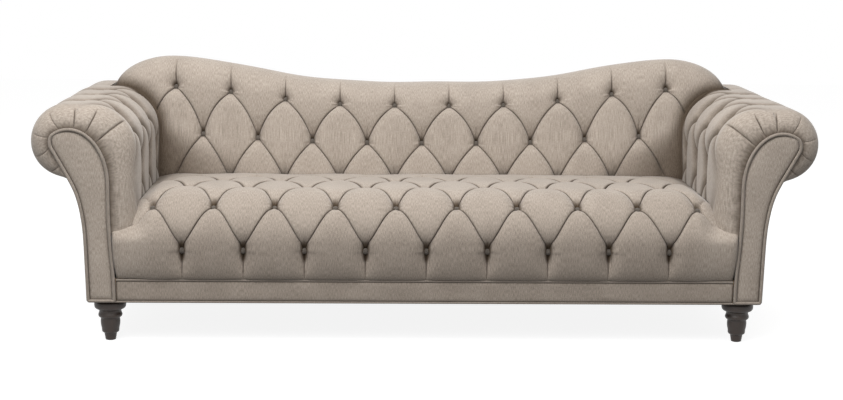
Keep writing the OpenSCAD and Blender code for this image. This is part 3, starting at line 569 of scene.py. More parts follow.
def back_lining():
    """The inner side of the back cover, clear of the frame."""
    share = np.linspace(-1, 1, 17)
    lines = []
    for row in (-1 / 6, 1.0, 2.0):
        x = share * BACK_SIDE
        z = np.maximum(BACK_BOTTOM, BACK_FIRST + BACK_ROW * row + band_rise(x) * max(0, row / 2))
        lines.append((x, back_depth(z) + 0.075, z))
    x = share * SHOULDER_X
    under_top = camel(x) - 0.071
    lines += [(x, 0 * x + 0.8557, under_top), (x, 0 * x + 0.8883, under_top), (x, 0 * x + 0.8883, lip_z(x))]
    return np.array([np.stack([x, FRONT + depth, z], axis=1) for x, depth, z in lines])


def back_cover():
    cols = steps(-BACK_SIDE / PITCH, BACK_SIDE / PITCH, 72)
    u, v = lattice(cols + 0.5, steps(-1 / 6, 2, 36))
    u = u - 0.5
    u[:, 0] = -BACK_SIDE / PITCH
    u[:, -1] = BACK_SIDE / PITCH
    beyond = np.clip((np.abs(u[-1]) * PITCH - LAST_COL) / (BACK_SIDE - LAST_COL), 0, 1)
    side_drop = 0.024 * (1 - np.sqrt(np.maximum(0, 1 - beyond * beyond)))
    calm = 1 - smooth((beyond - 0.5) / 0.3)

    # The face, with two rows of buttons
    v_up = arch(v, BACK_BOWS)
    wider = 0.352 * smooth((v - 1.3) / 0.7) * (SHOULDER_X - BACK_SIDE)
    past = np.clip((np.abs(u) * PITCH - LAST_COL) / (BACK_SIDE - LAST_COL), 0, 1)
    x = u * PITCH + wider * np.sign(u) * past
    z = BACK_FIRST + BACK_ROW * v_up + band_rise(x) * np.clip(v_up / 2, 0, 1)
    z = np.maximum(z, BACK_BOTTOM)
    drop, dark = tufted(
        u + 0.5, v, PITCH, BACK_ROW, BACK_TUFT, BACK_PLEAT, seed=1.0, thick=0.75, spot=0.38)
    below_last = 1 - smooth((np.abs(u) - 4.35) / 0.2) * (1 - smooth((v - 1.15) / 0.25))
    d = drop * calm * below_last + side_drop + 0.002 * uneven(x * 0.9 + 3, z)
    face = np.stack([x, FRONT + back_depth(z) + math.cos(LEAN) * d, z - math.sin(LEAN) * d], axis=2)
    face_dark = dark * calm * below_last

    # The band above them, a quarter of an ellipse that leaves the face without a bend
    angle = np.linspace(0, 1, 60)[1:, None]
    edge = mix(BACK_SIDE, SHOULDER_X, smooth(0.4 + angle * 1.5))
    x = u[-1] * PITCH + np.sign(u[-1]) * beyond * (edge - BACK_SIDE)
    band = DIP_H - BACK_BAND + band_rise(x)
    t = LEAN + 0 * x
    for _ in range(6):
        reach = (CREST - back_depth(band)) / np.cos(t)
        rise = (camel(x) - band) / (1 - np.sin(t))
        t = np.arctan(rise / reach * math.tan(LEAN))
    start = np.sin(t)
    t = mix(t, math.pi / 2, angle)
    out = mix(LEAN, math.pi / 2, angle)
    drop, dark = straight(u[-1] + 0.5, angle + 0 * x, PITCH, BACK_TUFT, 0.95, BACK_PLEAT)
    d = drop * calm + side_drop + 0.002 * uneven(x * 0.9 + 3, band + 0.1 * angle)
    depth = CREST - reach * np.cos(t)
    z = band + rise * (np.sin(t) - start)
    front = np.stack([x, FRONT + depth + np.cos(out) * d, z - np.sin(out) * d], axis=2)
    front_dark = dark * calm

    # Over the crest and down to the lip
    turn = np.linspace(0, 1, 26)[1:, None]
    t = (1 - turn) * math.pi / 2
    x = np.tile(x[-1], (len(turn), 1))
    d = d[-1] * (1 - turn)
    depth = CREST + (REAR - CREST) * np.cos(t)
    z = mix(lip_z(x), camel(x), np.sin(t))
    rear = np.stack([x, FRONT + depth - np.cos(t) * d, z - np.sin(t) * d], axis=2)

    points = np.concatenate([face, front, rear])
    dark = np.concatenate([face_dark, front_dark, front_dark[-1] * (1 - turn)])
    dark = np.maximum(dark, corner_shade(points))
    length = length_along(points[:, len(cols) // 2])
    uv = np.stack([points[:, :, 0], np.tile(length[:, None], (1, len(cols)))], axis=2)
    more = len(points) - len(u)
    pleats = (np.pad(u, ((0, more), (0, 0)), mode="edge") + 0.5, np.pad(v, ((0, more), (0, 0)), mode="edge"))
    return shell("back_cover", points, back_lining(), uv, dark, pleats=pleats)


def back_button_places():
    """Button places on the leaning face, two rows of them."""
    out = []
    for row in (1, 2):
        for x in row_places(row == 1):
            z = BACK_FIRST + BACK_ROW * row + float(band_rise(np.array(x))) * row / 2
            y = FRONT + float(back_depth(np.array(z)))
            place = (x, y + math.cos(LEAN) * BACK_TUFT, z - math.sin(LEAN) * BACK_TUFT)
            out.append((place, (0, -math.cos(LEAN), math.sin(LEAN))))
    return out


# Arms

ARM_A = ARM_H - INNER_R - ARM_BOTTOM
ARM_B = math.pi * INNER_R / 2
ARM_C = ROLL_X - INNER_X - INNER_R
ARM_D = ROLL_R * (math.pi / 2 - ROLL_END)
FLAT_END = ARM_A + ARM_B + ARM_C
ARM_LEN = FLAT_END + ARM_D
ROLL_ROW = FLAT_END - 0.037
LAST_ROW = ARM_FIRST + 2 * ARM_ROW
HEAD_Z = HEAD_TOP - HEAD_R
ARM_BOWS = [(0.12, 0.9), (0.16, 0.85), (0.0, 1.0)]
TOP_ROW_SHARE = 0.6
ARM_SHADE = 0.8

# Folds that gather the cover round the arm front: place at the welt, place inside, strength, reach
FRONT_PLEATS = [
    (0.268, 0.258, 1.0, 0.07), (0.345, 0.35, 1.0, 0.036), (0.418, 0.422, 1.0, 0.034),
    (0.515, 0.508, 0.6, 0.034), (0.61, 0.603, 0.35, 0.034), (0.7, 0.682, 0.5, 0.034),
    (0.762, 0.75, 0.6, 0.034)]


def arm_line(s):
    """Crown line over the arm: place in X and Z and the way it faces."""
    tb = np.clip((s - ARM_A) / ARM_B, 0, 1) * math.pi / 2
    tc = np.clip(s - ARM_A - ARM_B, 0, ARM_C)
    td = math.pi / 2 - np.maximum(s - FLAT_END, 0) / ROLL_R
    parts = [s < ARM_A, s < ARM_A + ARM_B, s < FLAT_END]
    bend_x = INNER_X + INNER_R * (1 - np.cos(tb))
    bend_z = ARM_H - INNER_R * (1 - np.sin(tb))
    x = np.select(parts, [bend_x, bend_x, INNER_X + INNER_R + tc], ROLL_X + ROLL_R * np.cos(td))
    z = np.select(parts, [ARM_BOTTOM + s, bend_z, ARM_H + 0 * s], ROLL_Z + ROLL_R * np.sin(td))
    nx = np.select(parts, [-np.cos(tb), -np.cos(tb), 0 * s], np.cos(td))
    nz = np.select(parts, [np.sin(tb), np.sin(tb), 1 + 0 * s], np.sin(td))
    return x, z, nx, nz


def facing_inner(t):
    """Inner edge of an arm front, from the shoulder to the top of the head."""
    x = HEAD_X - (HEAD_X - FACING_X) * np.cos(math.pi / 2 * t)
    return x, mix(SHOULDER_Z, HEAD_TOP, np.sin(math.pi / 2 * t))


def facing_head(t):
    """The head of an arm front, from its top to the tip of the scroll."""
    a = np.radians(mix(90, HEAD_END, t))
    return HEAD_X + HEAD_LEAN * np.minimum(1, 2 * t) + HEAD_R * np.cos(a), HEAD_Z + HEAD_R * np.sin(a)


HEAD_TIP = facing_head(1.0)
UNDER_Z = ROLL_Z - ROLL_R
UNDER_ROLL = (mix(NECK[0], HEAD_TIP[0], 0.9 * (UNDER_Z - NECK[1]) / (HEAD_TIP[1] - NECK[1])), UNDER_Z)


def arm_facing(s):
    """The arm front outline at the same place over the arm."""
    start = SHOULDER_Z - ARM_BOTTOM
    xi, zi = facing_inner(np.clip((s - start) / (FLAT_END - start), 0, 1))
    th = np.clip((s - FLAT_END) / ARM_D, 0, 1)
    xh, zh = facing_head(np.minimum(th / 0.75, 1))
    tail = np.clip((th - 0.75) / 0.25, 0, 1)
    parts = [s < start, s < FLAT_END, th < 0.75]
    x = np.select(parts, [FACING_X + 0 * s, xi, xh], mix(HEAD_TIP[0], UNDER_ROLL[0], tail))
    z = np.select(parts, [ARM_BOTTOM + s, zi, zh], mix(HEAD_TIP[1], UNDER_ROLL[1], tail))
    return x, z


def roll_rows():
    """Rows over the roll, with more of them at the folds round the arm front."""
    close = 0.006
    places = [np.linspace(LAST_ROW, ARM_LEN, 120)]
    for pleat in FRONT_PLEATS:
        if LAST_ROW + close < pleat[0] < ARM_LEN - close:
            places.append(np.linspace(pleat[0] - close, pleat[0] + close, 13))
    return np.unique(np.round(np.concatenate(places), 6))[1:]


def off_fold(fold, s, depth):
    """How far each place is from one of the folds round the arm front."""
    at_welt, inside, _, reach = fold
    return s - mix(at_welt, inside, np.clip(depth / reach, 0, 1))


def arm_grid():
    """Places on an arm cover: back (depth), in rows (v) and over the arm (s)."""
    front_cols = ARM_FRONT_R * (1 - np.cos(np.linspace(0, math.pi / 2, 30)))[:-1]
    rear_cols = np.linspace(TUFTS_END, PANEL_DEPTH - ARM_REAR_R, 24)[1:]
    last_cols = PANEL_DEPTH - ARM_REAR_R + ARM_REAR_R * np.sin(np.linspace(0, math.pi / 2, 10))[1:]
    after = np.concatenate([rear_cols, last_cols])
    cols = steps((ARM_FRONT_R - ARM_COL) / ARM_PITCH, (TUFTS_END - ARM_COL) / ARM_PITCH, 96)
    low_rows = np.linspace(0, 1, 24)[:-1, None]
    rows = steps(-1, 1, 48)
    flat_u, flat_v = np.meshgrid(cols, rows)
    u, v = lattice(cols, rows)
    keep = smooth((flat_u - cols[0]) / 0.3) * smooth((cols[-1] - flat_u) / 0.25)
    depth = ARM_COL + ARM_PITCH * mix(flat_u, u, keep)
    v = mix(flat_v, v, keep)
    s = ARM_FIRST + ARM_ROW * arch(v + 1, ARM_BOWS)
    roll = roll_rows()
    roll_s = mix(s[-1][None, :], ARM_LEN, ((roll - LAST_ROW) / (ARM_LEN - LAST_ROW))[:, None])

    depth = np.pad(depth, ((len(low_rows), len(roll)), (0, 0)), mode="edge")
    v = np.concatenate([-1 - (1 - low_rows) * 0.45 + 0 * depth[:1], v, 1 + (roll_s - LAST_ROW) / ARM_ROW])
    s = np.concatenate([low_rows * s[0], s, roll_s])
    count = len(depth)
    depth = np.hstack([np.tile(front_cols, (count, 1)), depth, np.tile(after, (count, 1))])
    s = repeated(s, len(front_cols), len(after))
    v = repeated(v, len(front_cols), len(after))

    # The rows draw together at the folds round the arm front
    body_rows = (s < LAST_ROW - 1e-6) * (1 - smooth((depth - 0.03) / 0.1))
    for fold in FRONT_PLEATS:
        off = off_fold(fold, s, depth)
        s = s - 0.75 * body_rows * off * bell(off, 0.014)
    return depth, v, s


def front_gathers(s, depth, around):
    """Folds that gather the cover round the arm front: how far they draw it in, and the painted shade of
    their lines.
    """
    drawn = np.zeros_like(s)
    lines = np.zeros_like(s)
    for fold in FRONT_PLEATS:
        strength, reach = fold[2:]
        off = off_fold(fold, s, depth)
        run = strength * smooth(around / 0.3) * (1 - smooth((depth - 0.55 * reach) / (0.5 * reach)))
        drawn = drawn + run * (0.006 * fade(off, 0.0022) + 0.0035 * fade(off, 0.011))
        drawn = drawn - run * LIP * overlap(off, LIP_EDGE, LIP_W)
        lines = np.maximum(lines, LINE_SHADE * run * bell(off, 0.0021))
    return drawn, lines


def arm_lining(side):
    """The inner side of an arm cover, from the arm front to the back's face or the rear."""
    s = np.linspace(0, ARM_LEN, 15)
    fx, fz = arm_facing(s)
    ax, az = arm_facing(np.maximum(0, s - 0.001))
    bx, bz = arm_facing(np.minimum(ARM_LEN, s + 0.001))
    size = np.hypot(bx - ax, bz - az)
    wx = (bz - az) / size
    wz = -(bx - ax) / size
    end_depth = np.where(s <= ROLL_ROW, back_depth(arm_line(s)[1]) - 0.006, PANEL_DEPTH)
    ends = [(0.0044, COVER_T + 0 * s), (0.0105, end_depth)]
    lines = [np.stack([side * (fx + wx * out), FRONT + depth, fz + wz * out], axis=1) for out, depth in ends]
    return np.stack(lines, axis=1)


def arm_cover(name, side):
    """One arm cover; side is 1 on the right and -1 on the left."""
    depth, v, s = arm_grid()
    u = (depth - ARM_COL) / ARM_PITCH
    body, body_dark = tufted(
        u, v, ARM_PITCH, ARM_ROW, ARM_TUFT, ARM_PLEAT, seed=2.0 + side, shade=ARM_SHADE, thick=3.2, lap=0.008)
    over, over_dark = straight(
        u + 0.5, np.maximum(v - 1, 0), ARM_PITCH, ARM_TUFT, 0.9, ARM_PLEAT, shade=ARM_SHADE)

    # The tufts die out at the arm front, at the back's face, at the bottom and on the roll
    shallow = mix(1, TOP_ROW_SHARE, smooth((v - 0.35) / 0.65))
    calm = smooth((depth - 0.018) / (ARM_COL - 0.018))
    rear = 1 - smooth((depth - 0.66) / 0.12)
    low_part = np.clip(s / ARM_FIRST, 0, 1)
    end = 1 - smooth((s - mix(FLAT_END, ARM_LEN, 0.55)) / (0.25 * ARM_D))
    drop = np.where(v > 1, over, body) * shallow * calm * rear * low_part * end
    dark = np.where(v > 1, over_dark, body_dark) * calm * rear * end * mix(1, 0.85, smooth((v - 0.7) / 0.3))

    turn = np.clip(depth / ARM_FRONT_R, 0, 1)
    around = np.sqrt(np.maximum(0, 1 - np.square(1 - turn)))
    gather, lines = front_gathers(s, depth, around)
    x, z, nx, nz = arm_line(s)
    # Painted shade: low at the inside rear, at the seam with the back, in the front folds and at the front
    # edge
    inner_rear_shade = 0.25 * smooth((depth - 0.25) / 0.35) * (1 - smooth((s - 0.15) / 0.25))
    seam_shade = 0.9 * (s <= ROLL_ROW) * smooth((depth - back_depth(z) + 0.035) / 0.03)
    dark = deepest(dark, lines, 0.75 * fade(depth, 0.0022), inner_rear_shade, seam_shade)

    # From the outline of the arm front out to the crown line, and round at the rear of the roll
    fx, fz = arm_facing(s)
    past = np.clip((depth - PANEL_DEPTH + ARM_REAR_R) / ARM_REAR_R, 0, 1)
    thin = smooth((s - mix(FLAT_END, ARM_LEN, 0.5)) / (0.45 * ARM_D))
    on_roll = smooth((s - ROLL_ROW + 0.012) / 0.012)
    rear_fall = ARM_REAR_R * (1 - np.sqrt(1 - past * past)) * (1 - thin) * on_roll
    d = drop + rear_fall + 0.0018 * uneven(depth + 5 * side, s) * around
    px = mix(fx, x - nx * d, around) - nx * gather * (1 - 0.3 * around)
    pz = mix(fz, z - nz * d, around) - nz * gather * (1 - 0.3 * around)

    # The lowest edge sags under the seat, and the inner part stops at the back's face
    sag = np.maximum(0.1 * np.square(np.maximum(0, 1 - depth / 0.16)), 0.006)
    sag = sag * np.maximum(0, 1 - s / ARM_FIRST)
    stop = back_depth(z) - 0.004 + 0.02 * smooth((s - 0.28) / 0.1)
    held = np.where((s <= ROLL_ROW) & (depth > stop), stop + (depth - stop) * 0.012, depth)
    puff = 0.01 * (1 - around) * around - gather * (1 - around)
    points = np.stack([side * px, FRONT + held - puff, pz - sag], axis=2)
    uv = np.stack([depth + 0.3 * side, s], axis=2)
    return shell(name, points, arm_lining(side), uv, dark, side > 0, (u, v))


def arm_button_places(side):
    """Button places inside an arm, three rows of them, in front of the back's face."""
    out = []
    for row in range(3):
        s = ARM_FIRST + row * ARM_ROW
        x, z, nx, nz = [float(t) for t in arm_line(np.array(s))]
        d = ARM_TUFT * (TOP_ROW_SHARE if row == 2 else 1)
        for i in range(4):
            depth = ARM_COL + (i + (0.5 if row % 2 == 0 else 0)) * ARM_PITCH
            if depth < 0.6 - ARM_PITCH / 12:
                out.append(((side * (x - nx * d), FRONT + depth, z - nz * d), (side * nx, 0, nz)))
    return out


# Outside panels, border and base

def edge_curves(count):
    """Inner and outer edge of an arm front, both from the base to the tip of the scroll."""
    xi, zi = facing_inner(np.linspace(0, 1, 60))
    xh, zh = facing_head(np.linspace(0, 0.45, 20)[1:])
    inner = np.stack([
        np.concatenate([[FACING_BASE, FACING_BASE, FACING_X], xi, xh]),
        np.concatenate([[COVER_Z, DECK, WAIST[1]], zi, zh]),
    ], axis=1)
    xo, zo = facing_head(np.linspace(1, 0.45, 24))
    middle = ((HEAD_TIP[0] + UNDER_ROLL[0]) / 2, (HEAD_TIP[1] + UNDER_ROLL[1]) / 2)
    low_part = [
        (FACING_OUT, COVER_Z), (mix(WAIST[0], FACING_OUT, 0.5), mix(WAIST[1], COVER_Z, 0.5)), WAIST,
        (mix(NECK[0], WAIST[0], 0.58), mix(NECK[1], WAIST[1], 0.42)), NECK, UNDER_ROLL, middle]
    outer = np.concatenate([np.array(low_part), np.stack([xo, zo], axis=1)])
    return resample(smoothed(inner), count), resample(smoothed(outer), count)


def arm_front_panel(name, side):
    """The scroll-shaped panel of an arm front, crowned a little, with painted shade along its welt and its
    foot.
    """
    under_welt = 0.002
    inner, outer = edge_curves(90)
    across = (1 - np.cos(np.linspace(0, math.pi, 34))) / 2
    width = np.linalg.norm(outer - inner, axis=1)[:, None]
    keep = np.clip(1 - under_welt / np.maximum(width, 1e-4), 0, 1)[:, :, None]
    flat = mix(inner[:, None, :], outer[:, None, :], across[None, :, None])
    flat = mix((inner[:, None, :] + outer[:, None, :]) / 2, flat, keep)
    from_edge = np.minimum(across, 1 - across)[None, :] * width
    tall = flat[:, :, 1]
    crown = 0.008 * (1 - fade(np.maximum(0, from_edge - 0.0045), 0.009)) * smooth(width / 0.03)
    crown = crown * smooth((tall - COVER_Z) / 0.012) * (1 + 0.1 * uneven(flat[:, :, 0], tall))
    dark = 0.85 * fade(np.maximum(0, from_edge - 0.004), 0.0025) + 0.5 * fade(tall - COVER_Z, 0.003)
    points = np.stack([side * flat[:, :, 0], FRONT + 0.0002 - crown, tall], axis=2)
    back = points[::6, ::33].copy()
    back[:, :, 1] = FRONT + COVER_T
    uv = np.stack([flat[:, :, 0] + 2 * side, tall], axis=2)
    return shell(name, points, back, uv, dark, flip=side < 0)


def outside_arm(name, side):
    """The plain cover on the outside of an arm, below the roll."""
    outer = edge_curves(60)[1]
    outer = resample(outer[outer[:, 1] < UNDER_ROLL[1]], 50)
    depth = np.linspace(COVER_T, PANEL_DEPTH, 90)
    x = np.tile(outer[:, :1], (1, 90))
    z = np.tile(outer[:, 1:], (1, 90))
    d = np.tile(depth, (50, 1))
    ends = np.minimum(depth - COVER_T, PANEL_DEPTH - depth)
    full = (1 - fade(ends, 0.02))[None, :] * smooth((z - COVER_Z) / 0.03) * smooth((0.517 - z) / 0.03)
    x = x - 0.002 + 0.0025 * full * (1 + 0.3 * uneven(d, z))
    points = np.stack([side * x, FRONT + d, z], axis=2)
    back = points[::7, ::89].copy()
    back[:, :, 0] -= side * 0.0095
    uv = np.stack([d + 4 * side, z], axis=2)
    # Painted shade where the padding dies away at its ends, its foot and its top
    return shell(name, points, back, uv, 0.5 * (1 - full) ** 4, flip=side < 0)


def rear_outline():
    """Lower right edge of the outside back, from the base to under the roll."""
    waist = edge_curves(80)[1]
    return np.concatenate([waist[waist[:, 1] < NECK[1]], [(ROLL_X, ROLL_Z - ROLL_END_R)]])


def back_top(x):
    """Top edge of the outside back between the rolls."""
    return camel(x) - BACK_LIP - SEAM


def outside_back():
    """The plain cover behind the sofa, between the base, the rolls' ends and the back's lip."""
    count = 240
    wide = ROLL_X + ROLL_END_R
    x = wide * np.sin(np.linspace(-math.pi / 2, math.pi / 2, count))
    a = np.abs(x)
    outline = rear_outline()
    ring = np.sqrt(np.maximum(0, ROLL_END_R ** 2 - np.square(a - ROLL_X)))
    low_z = np.where(a < FACING_OUT, COVER_Z, np.interp(a, outline[:, 0], outline[:, 1]))
    low_z = np.where(a > ROLL_X, ROLL_Z - ring, low_z)
    top_z = np.where(a > ROLL_X - ROLL_END_R, ROLL_Z + ring, back_top(x))
    w = (1 - np.cos(np.linspace(0, math.pi, 70))) / 2
    z = mix(low_z[None, :], top_z[None, :], w[:, None])
    xx = np.tile(x, (70, 1))
    near = np.maximum(0, np.minimum(np.minimum(z - low_z, top_z - z), wide - a[None, :]))
    crown = 0.0055 * (1 - fade(near, 0.012)) * (1 + 0.2 * uneven(xx, z))
    points = np.stack([xx, FRONT + 0.9165 + crown, z], axis=2)
    back = points[::23][:, np.linspace(0, count - 1, 41).astype(int)].copy()
    back[:, :, 1] = FRONT + PANEL_DEPTH
    uv = np.stack([-xx, z], axis=2)
    # Painted shade along its edges, by the piping
    return shell("outside_back_cover", points, back, uv, 0.7 * fade(near, 0.0025), flip=True)


def border():
    """The plain padded strip between the hem and the seat welt."""
    z = mix(COVER_Z + 0.0005, DECK - 2 * HEM_R, np.linspace(0, 1, 22))
    xx, zz = np.meshgrid(np.linspace(-SEAT_HALF, SEAT_HALF, 320), z)
    near = np.minimum(zz - z[0], z[-1] - zz)
    crown = 0.004 * (1 - fade(near, 0.006)) * (1 + 0.35 * uneven(xx, zz * 3))
    points = np.stack([xx, FRONT + BORDER_INSET - crown, zz], axis=2)
    back = points[::21, ::319].copy()
    back[:, :, 1] = FRONT + COVER_T
    # Painted shade along its edges and ends, and a little all over for the shade under the seat's nose
    dark = deepest(0.8 * fade(near, 0.0025), 0.7 * fade(SEAT_HALF - np.abs(xx), 0.0025), 0.2)
    return shell("front_border_cover", points, back, np.stack([xx, zz], axis=2), dark)


def foot(name, centre):
    """A turned foot, from the share profile of the CAD foot, with its beads rounded."""
    sides = 64
    shares = np.array([
        (0.02, 1), (0.86, 1), (0.95, 0.975), (1, 0.93), (1, 0.85), (0.93, 0.8), (0.8, 0.775), (0.7, 0.76),
        (0.69, 0.72), (0.72, 0.68), (0.755, 0.65), (0.755, 0.615), (0.7, 0.58), (0.6, 0.565), (0.6, 0.53),
        (0.62, 0.47), (0.6, 0.38), (0.55, 0.3), (0.545, 0.225), (0.5, 0.2), (0.4, 0.185), (0.39, 0.16),
        (0.34, 0.05), (0.32, 0), (0.02, 0)])
    profile = smoothed(shares, 1) * np.array([FOOT_R, FOOT_H])
    around = np.linspace(0, 2 * math.pi, sides + 1)[:-1]
    r = profile[:, :1]
    z = np.tile(profile[:, 1:], (1, sides))
    points = np.stack([centre[0] + r * np.cos(around), centre[1] + r * np.sin(around), z], axis=2)
    rows = len(profile)
    faces = []
    for i in range(rows - 1):
        for j in range(sides):
            k = (j + 1) % sides
            faces.append((i * sides + j, (i + 1) * sides + j, (i + 1) * sides + k, i * sides + k))
    faces.append(tuple(range(sides)))
    faces.append(tuple(rows * sides - 1 - j for j in range(sides)))
    return new_mesh(name, points.reshape(-1, 3).tolist(), faces)


# Materials

class Tree:
    """Short calls for building a node tree. A value is a socket to link or a constant to set."""

    def __init__(self, tree):
        self.tree = tree

    def fill(self, node, inputs):
        for key, value in inputs.items():
            if isinstance(value, bpy.types.NodeSocket):
                self.tree.links.new(value, node.inputs[key])
            else:
                node.inputs[key].default_value = value

    def add(self, kind, inputs=None, **settings):
        node = self.tree.nodes.new(kind)
        for key, value in settings.items():
            setattr(node, key, value)
        self.fill(node, inputs or {})
        return node

    def math(self, operation, *values):
        return self.add("ShaderNodeMath", dict(enumerate(values)), operation=operation).outputs[0]

    def total(self, *parts):
        """The sum of some values, each times its share."""
        terms = [self.math("MULTIPLY", value, share) for value, share in parts]
        return functools.reduce(lambda a, b: self.math("ADD", a, b), terms)

    def blend(self, factor, first, second, blend_type="MIX"):
        inputs = {"Factor": factor, 6: first, 7: second}
        return self.add("ShaderNodeMix", inputs, data_type="RGBA", blend_type=blend_type).outputs[2]

    def noise(self, vector, stretch, **inputs):
        """Noise on a vector that is stretched first, with the scale in the stretch."""
        long = self.add("ShaderNodeVectorMath", {0: vector, 1: stretch}, operation="MULTIPLY")
        inputs.update({"Vector": long.outputs[0], "Scale": 1.0})
        return self.add("ShaderNodeTexNoise", inputs).outputs["Fac"]

    def bump(self, height, strength, distance):
        inputs = {"Strength": strength, "Distance": distance, "Height": height}
        return self.add("ShaderNodeBump", inputs).outputs["Normal"]


def node_group(name, kind, inputs, outputs):
    group = bpy.data.node_groups.new(name, kind)
    for label, socket_type, value in inputs:
        socket = group.interface.new_socket(label, in_out="INPUT", socket_type=socket_type)
        if value is not None:
            socket.default_value = value
    for label, socket_type in outputs:
        group.interface.new_socket(label, in_out="OUTPUT", socket_type=socket_type)
    tree = Tree(group)
    return group, tree, tree.add("NodeGroupInput").outputs, tree.add("NodeGroupOutput")


def weave_group():
    """Heathered linen: streaks of lighter and darker yarn and a fine herringbone, from cloth coordinates."""
    group, t, given, out = node_group(
        "heathered_weave", "ShaderNodeTree",
        [("Cloth", "NodeSocketVector", None), ("Light Yarn", "NodeSocketColor", (0.5, 0.44, 0.37, 1)),
         ("Dark Yarn", "NodeSocketColor", (0.3, 0.25, 0.2, 1)), ("Streaks", "NodeSocketFloat", 1.0),
         ("Threads", "NodeSocketFloat", 900.0)],
        [("Color", "NodeSocketColor"), ("Height", "NodeSocketFloat")])
    cloth = given["Cloth"]
    warp = t.noise(cloth, (440, 85, 60), Detail=2)
    slub = t.noise(cloth, (210, 800, 60), Detail=2)
    grain = t.noise(cloth, (560, 560, 60), Detail=2)
    patch = t.noise(cloth, (14, 9, 60), Detail=2)
    mixed = t.total((warp, 0.5), (slub, 0.18), (grain, 0.2), (patch, 0.12))
    spread = t.math("MULTIPLY", t.math("SUBTRACT", mixed, 0.5), given["Streaks"])
    spread = t.math("ADD", t.math("MULTIPLY", spread, 4.8), 0.5)
    share = t.add("ShaderNodeClamp", {"Value": spread}).outputs[0]

    split = t.add("ShaderNodeSeparateXYZ", {0: cloth}).outputs
    along = t.math("ADD", split["Y"], t.math("PINGPONG", split["X"], 0.006))
    twill = t.math("SINE", t.math("MULTIPLY", along, given["Threads"]))
    warp_lines = t.math("SINE", t.math("MULTIPLY", split["X"], given["Threads"]))
    height = t.total((twill, 0.3), (warp_lines, 0.15), (warp, 0.7), (grain, 0.5))
    t.fill(out, {"Color": t.blend(share, given["Dark Yarn"], given["Light Yarn"]), "Height": height})
    return group


def grain_group():
    """Soft noise from Object coordinates, for materials that aren't cloth."""
    group, t, given, out = node_group(
        "object_grain", "ShaderNodeTree",
        [("Stretch", "NodeSocketVector", (40, 40, 40)), ("Low", "NodeSocketColor", (0.2, 0.2, 0.2, 1)),
         ("High", "NodeSocketColor", (0.3, 0.3, 0.3, 1))],
        [("Color", "NodeSocketColor"), ("Value", "NodeSocketFloat")])
    where = t.add("ShaderNodeTexCoord").outputs["Object"]
    noise = t.noise(where, given["Stretch"], Detail=5, Distortion=0.8)
    t.fill(out, {"Color": t.blend(noise, given["Low"], given["High"]), "Value": noise})
    return group


WEAVE = weave_group()
GRAIN = grain_group()
LINEN_LIGHT = (0.44, 0.379, 0.323)
LINEN_DARK = (0.272, 0.229, 0.19)
CREASE_SHADE_COLOR = (0.17, 0.135, 0.1, 1)
LINEN_SHEEN = 0.3
LINEN_SHINE = 0.18


def principled(name):
    material = bpy.data.materials.new(name)
    material.use_nodes = True
    return material, Tree(material.node_tree), material.node_tree.nodes["Principled BSDF"]


def linen(name, uv=True, shade=1.0, streaks=1.0, creased=False):
    """The heathered cloth; where it has a crease value, painted shade makes it darker and duller in the
    creases.
    """
    material, t, bsdf = principled(name)
    light_yarn, dark_yarn = [tuple(c * shade for c in yarn) + (1,) for yarn in (LINEN_LIGHT, LINEN_DARK)]
    where = t.add("ShaderNodeTexCoord").outputs["UV" if uv else "Object"]
    given = {"Cloth": where, "Light Yarn": light_yarn, "Dark Yarn": dark_yarn, "Streaks": streaks}
    weave = t.add("ShaderNodeGroup", given, node_tree=WEAVE).outputs
    color = weave["Color"]
    sheen = LINEN_SHEEN
    shine = LINEN_SHINE
    if creased:
        # Painted shade: where the crease value is high, the colour goes to the crease shade colour, sheen and
        # shine drop
        deep = t.add("ShaderNodeAttribute", attribute_name="crease").outputs["Fac"]
        color = t.blend(deep, color, CREASE_SHADE_COLOR, "MULTIPLY")
        open_part = t.math("SUBTRACT", 1.0, deep)
        sheen = t.math("MULTIPLY", open_part, LINEN_SHEEN)
        shine = t.math("MULTIPLY", open_part, LINEN_SHINE)
    t.fill(bsdf, {
        "Base Color": color, "Roughness": 0.92, "Specular IOR Level": shine, "Sheen Weight": sheen,
        "Sheen Roughness": 0.45, "Normal": t.bump(weave["Height"], 0.35, 0.0006)})
    return material


def grained(name, low_color, high_color, stretch, roughness, metallic=0.0, coat=0.0, bump=0.1):
    """A finish between two colours, with a grain stretched along the piece."""
    material, t, bsdf = principled(name)
    given = {"Stretch": stretch, "Low": low_color + (1,), "High": high_color + (1,)}
    grain = t.add("ShaderNodeGroup", given, node_tree=GRAIN).outputs
    t.fill(bsdf, {
        "Base Color": grain["Color"], "Roughness": roughness, "Metallic": metallic, "Coat Weight": coat,
        "Coat Roughness": 0.22, "Normal": t.bump(grain["Value"], bump, 0.0005)})
    return material


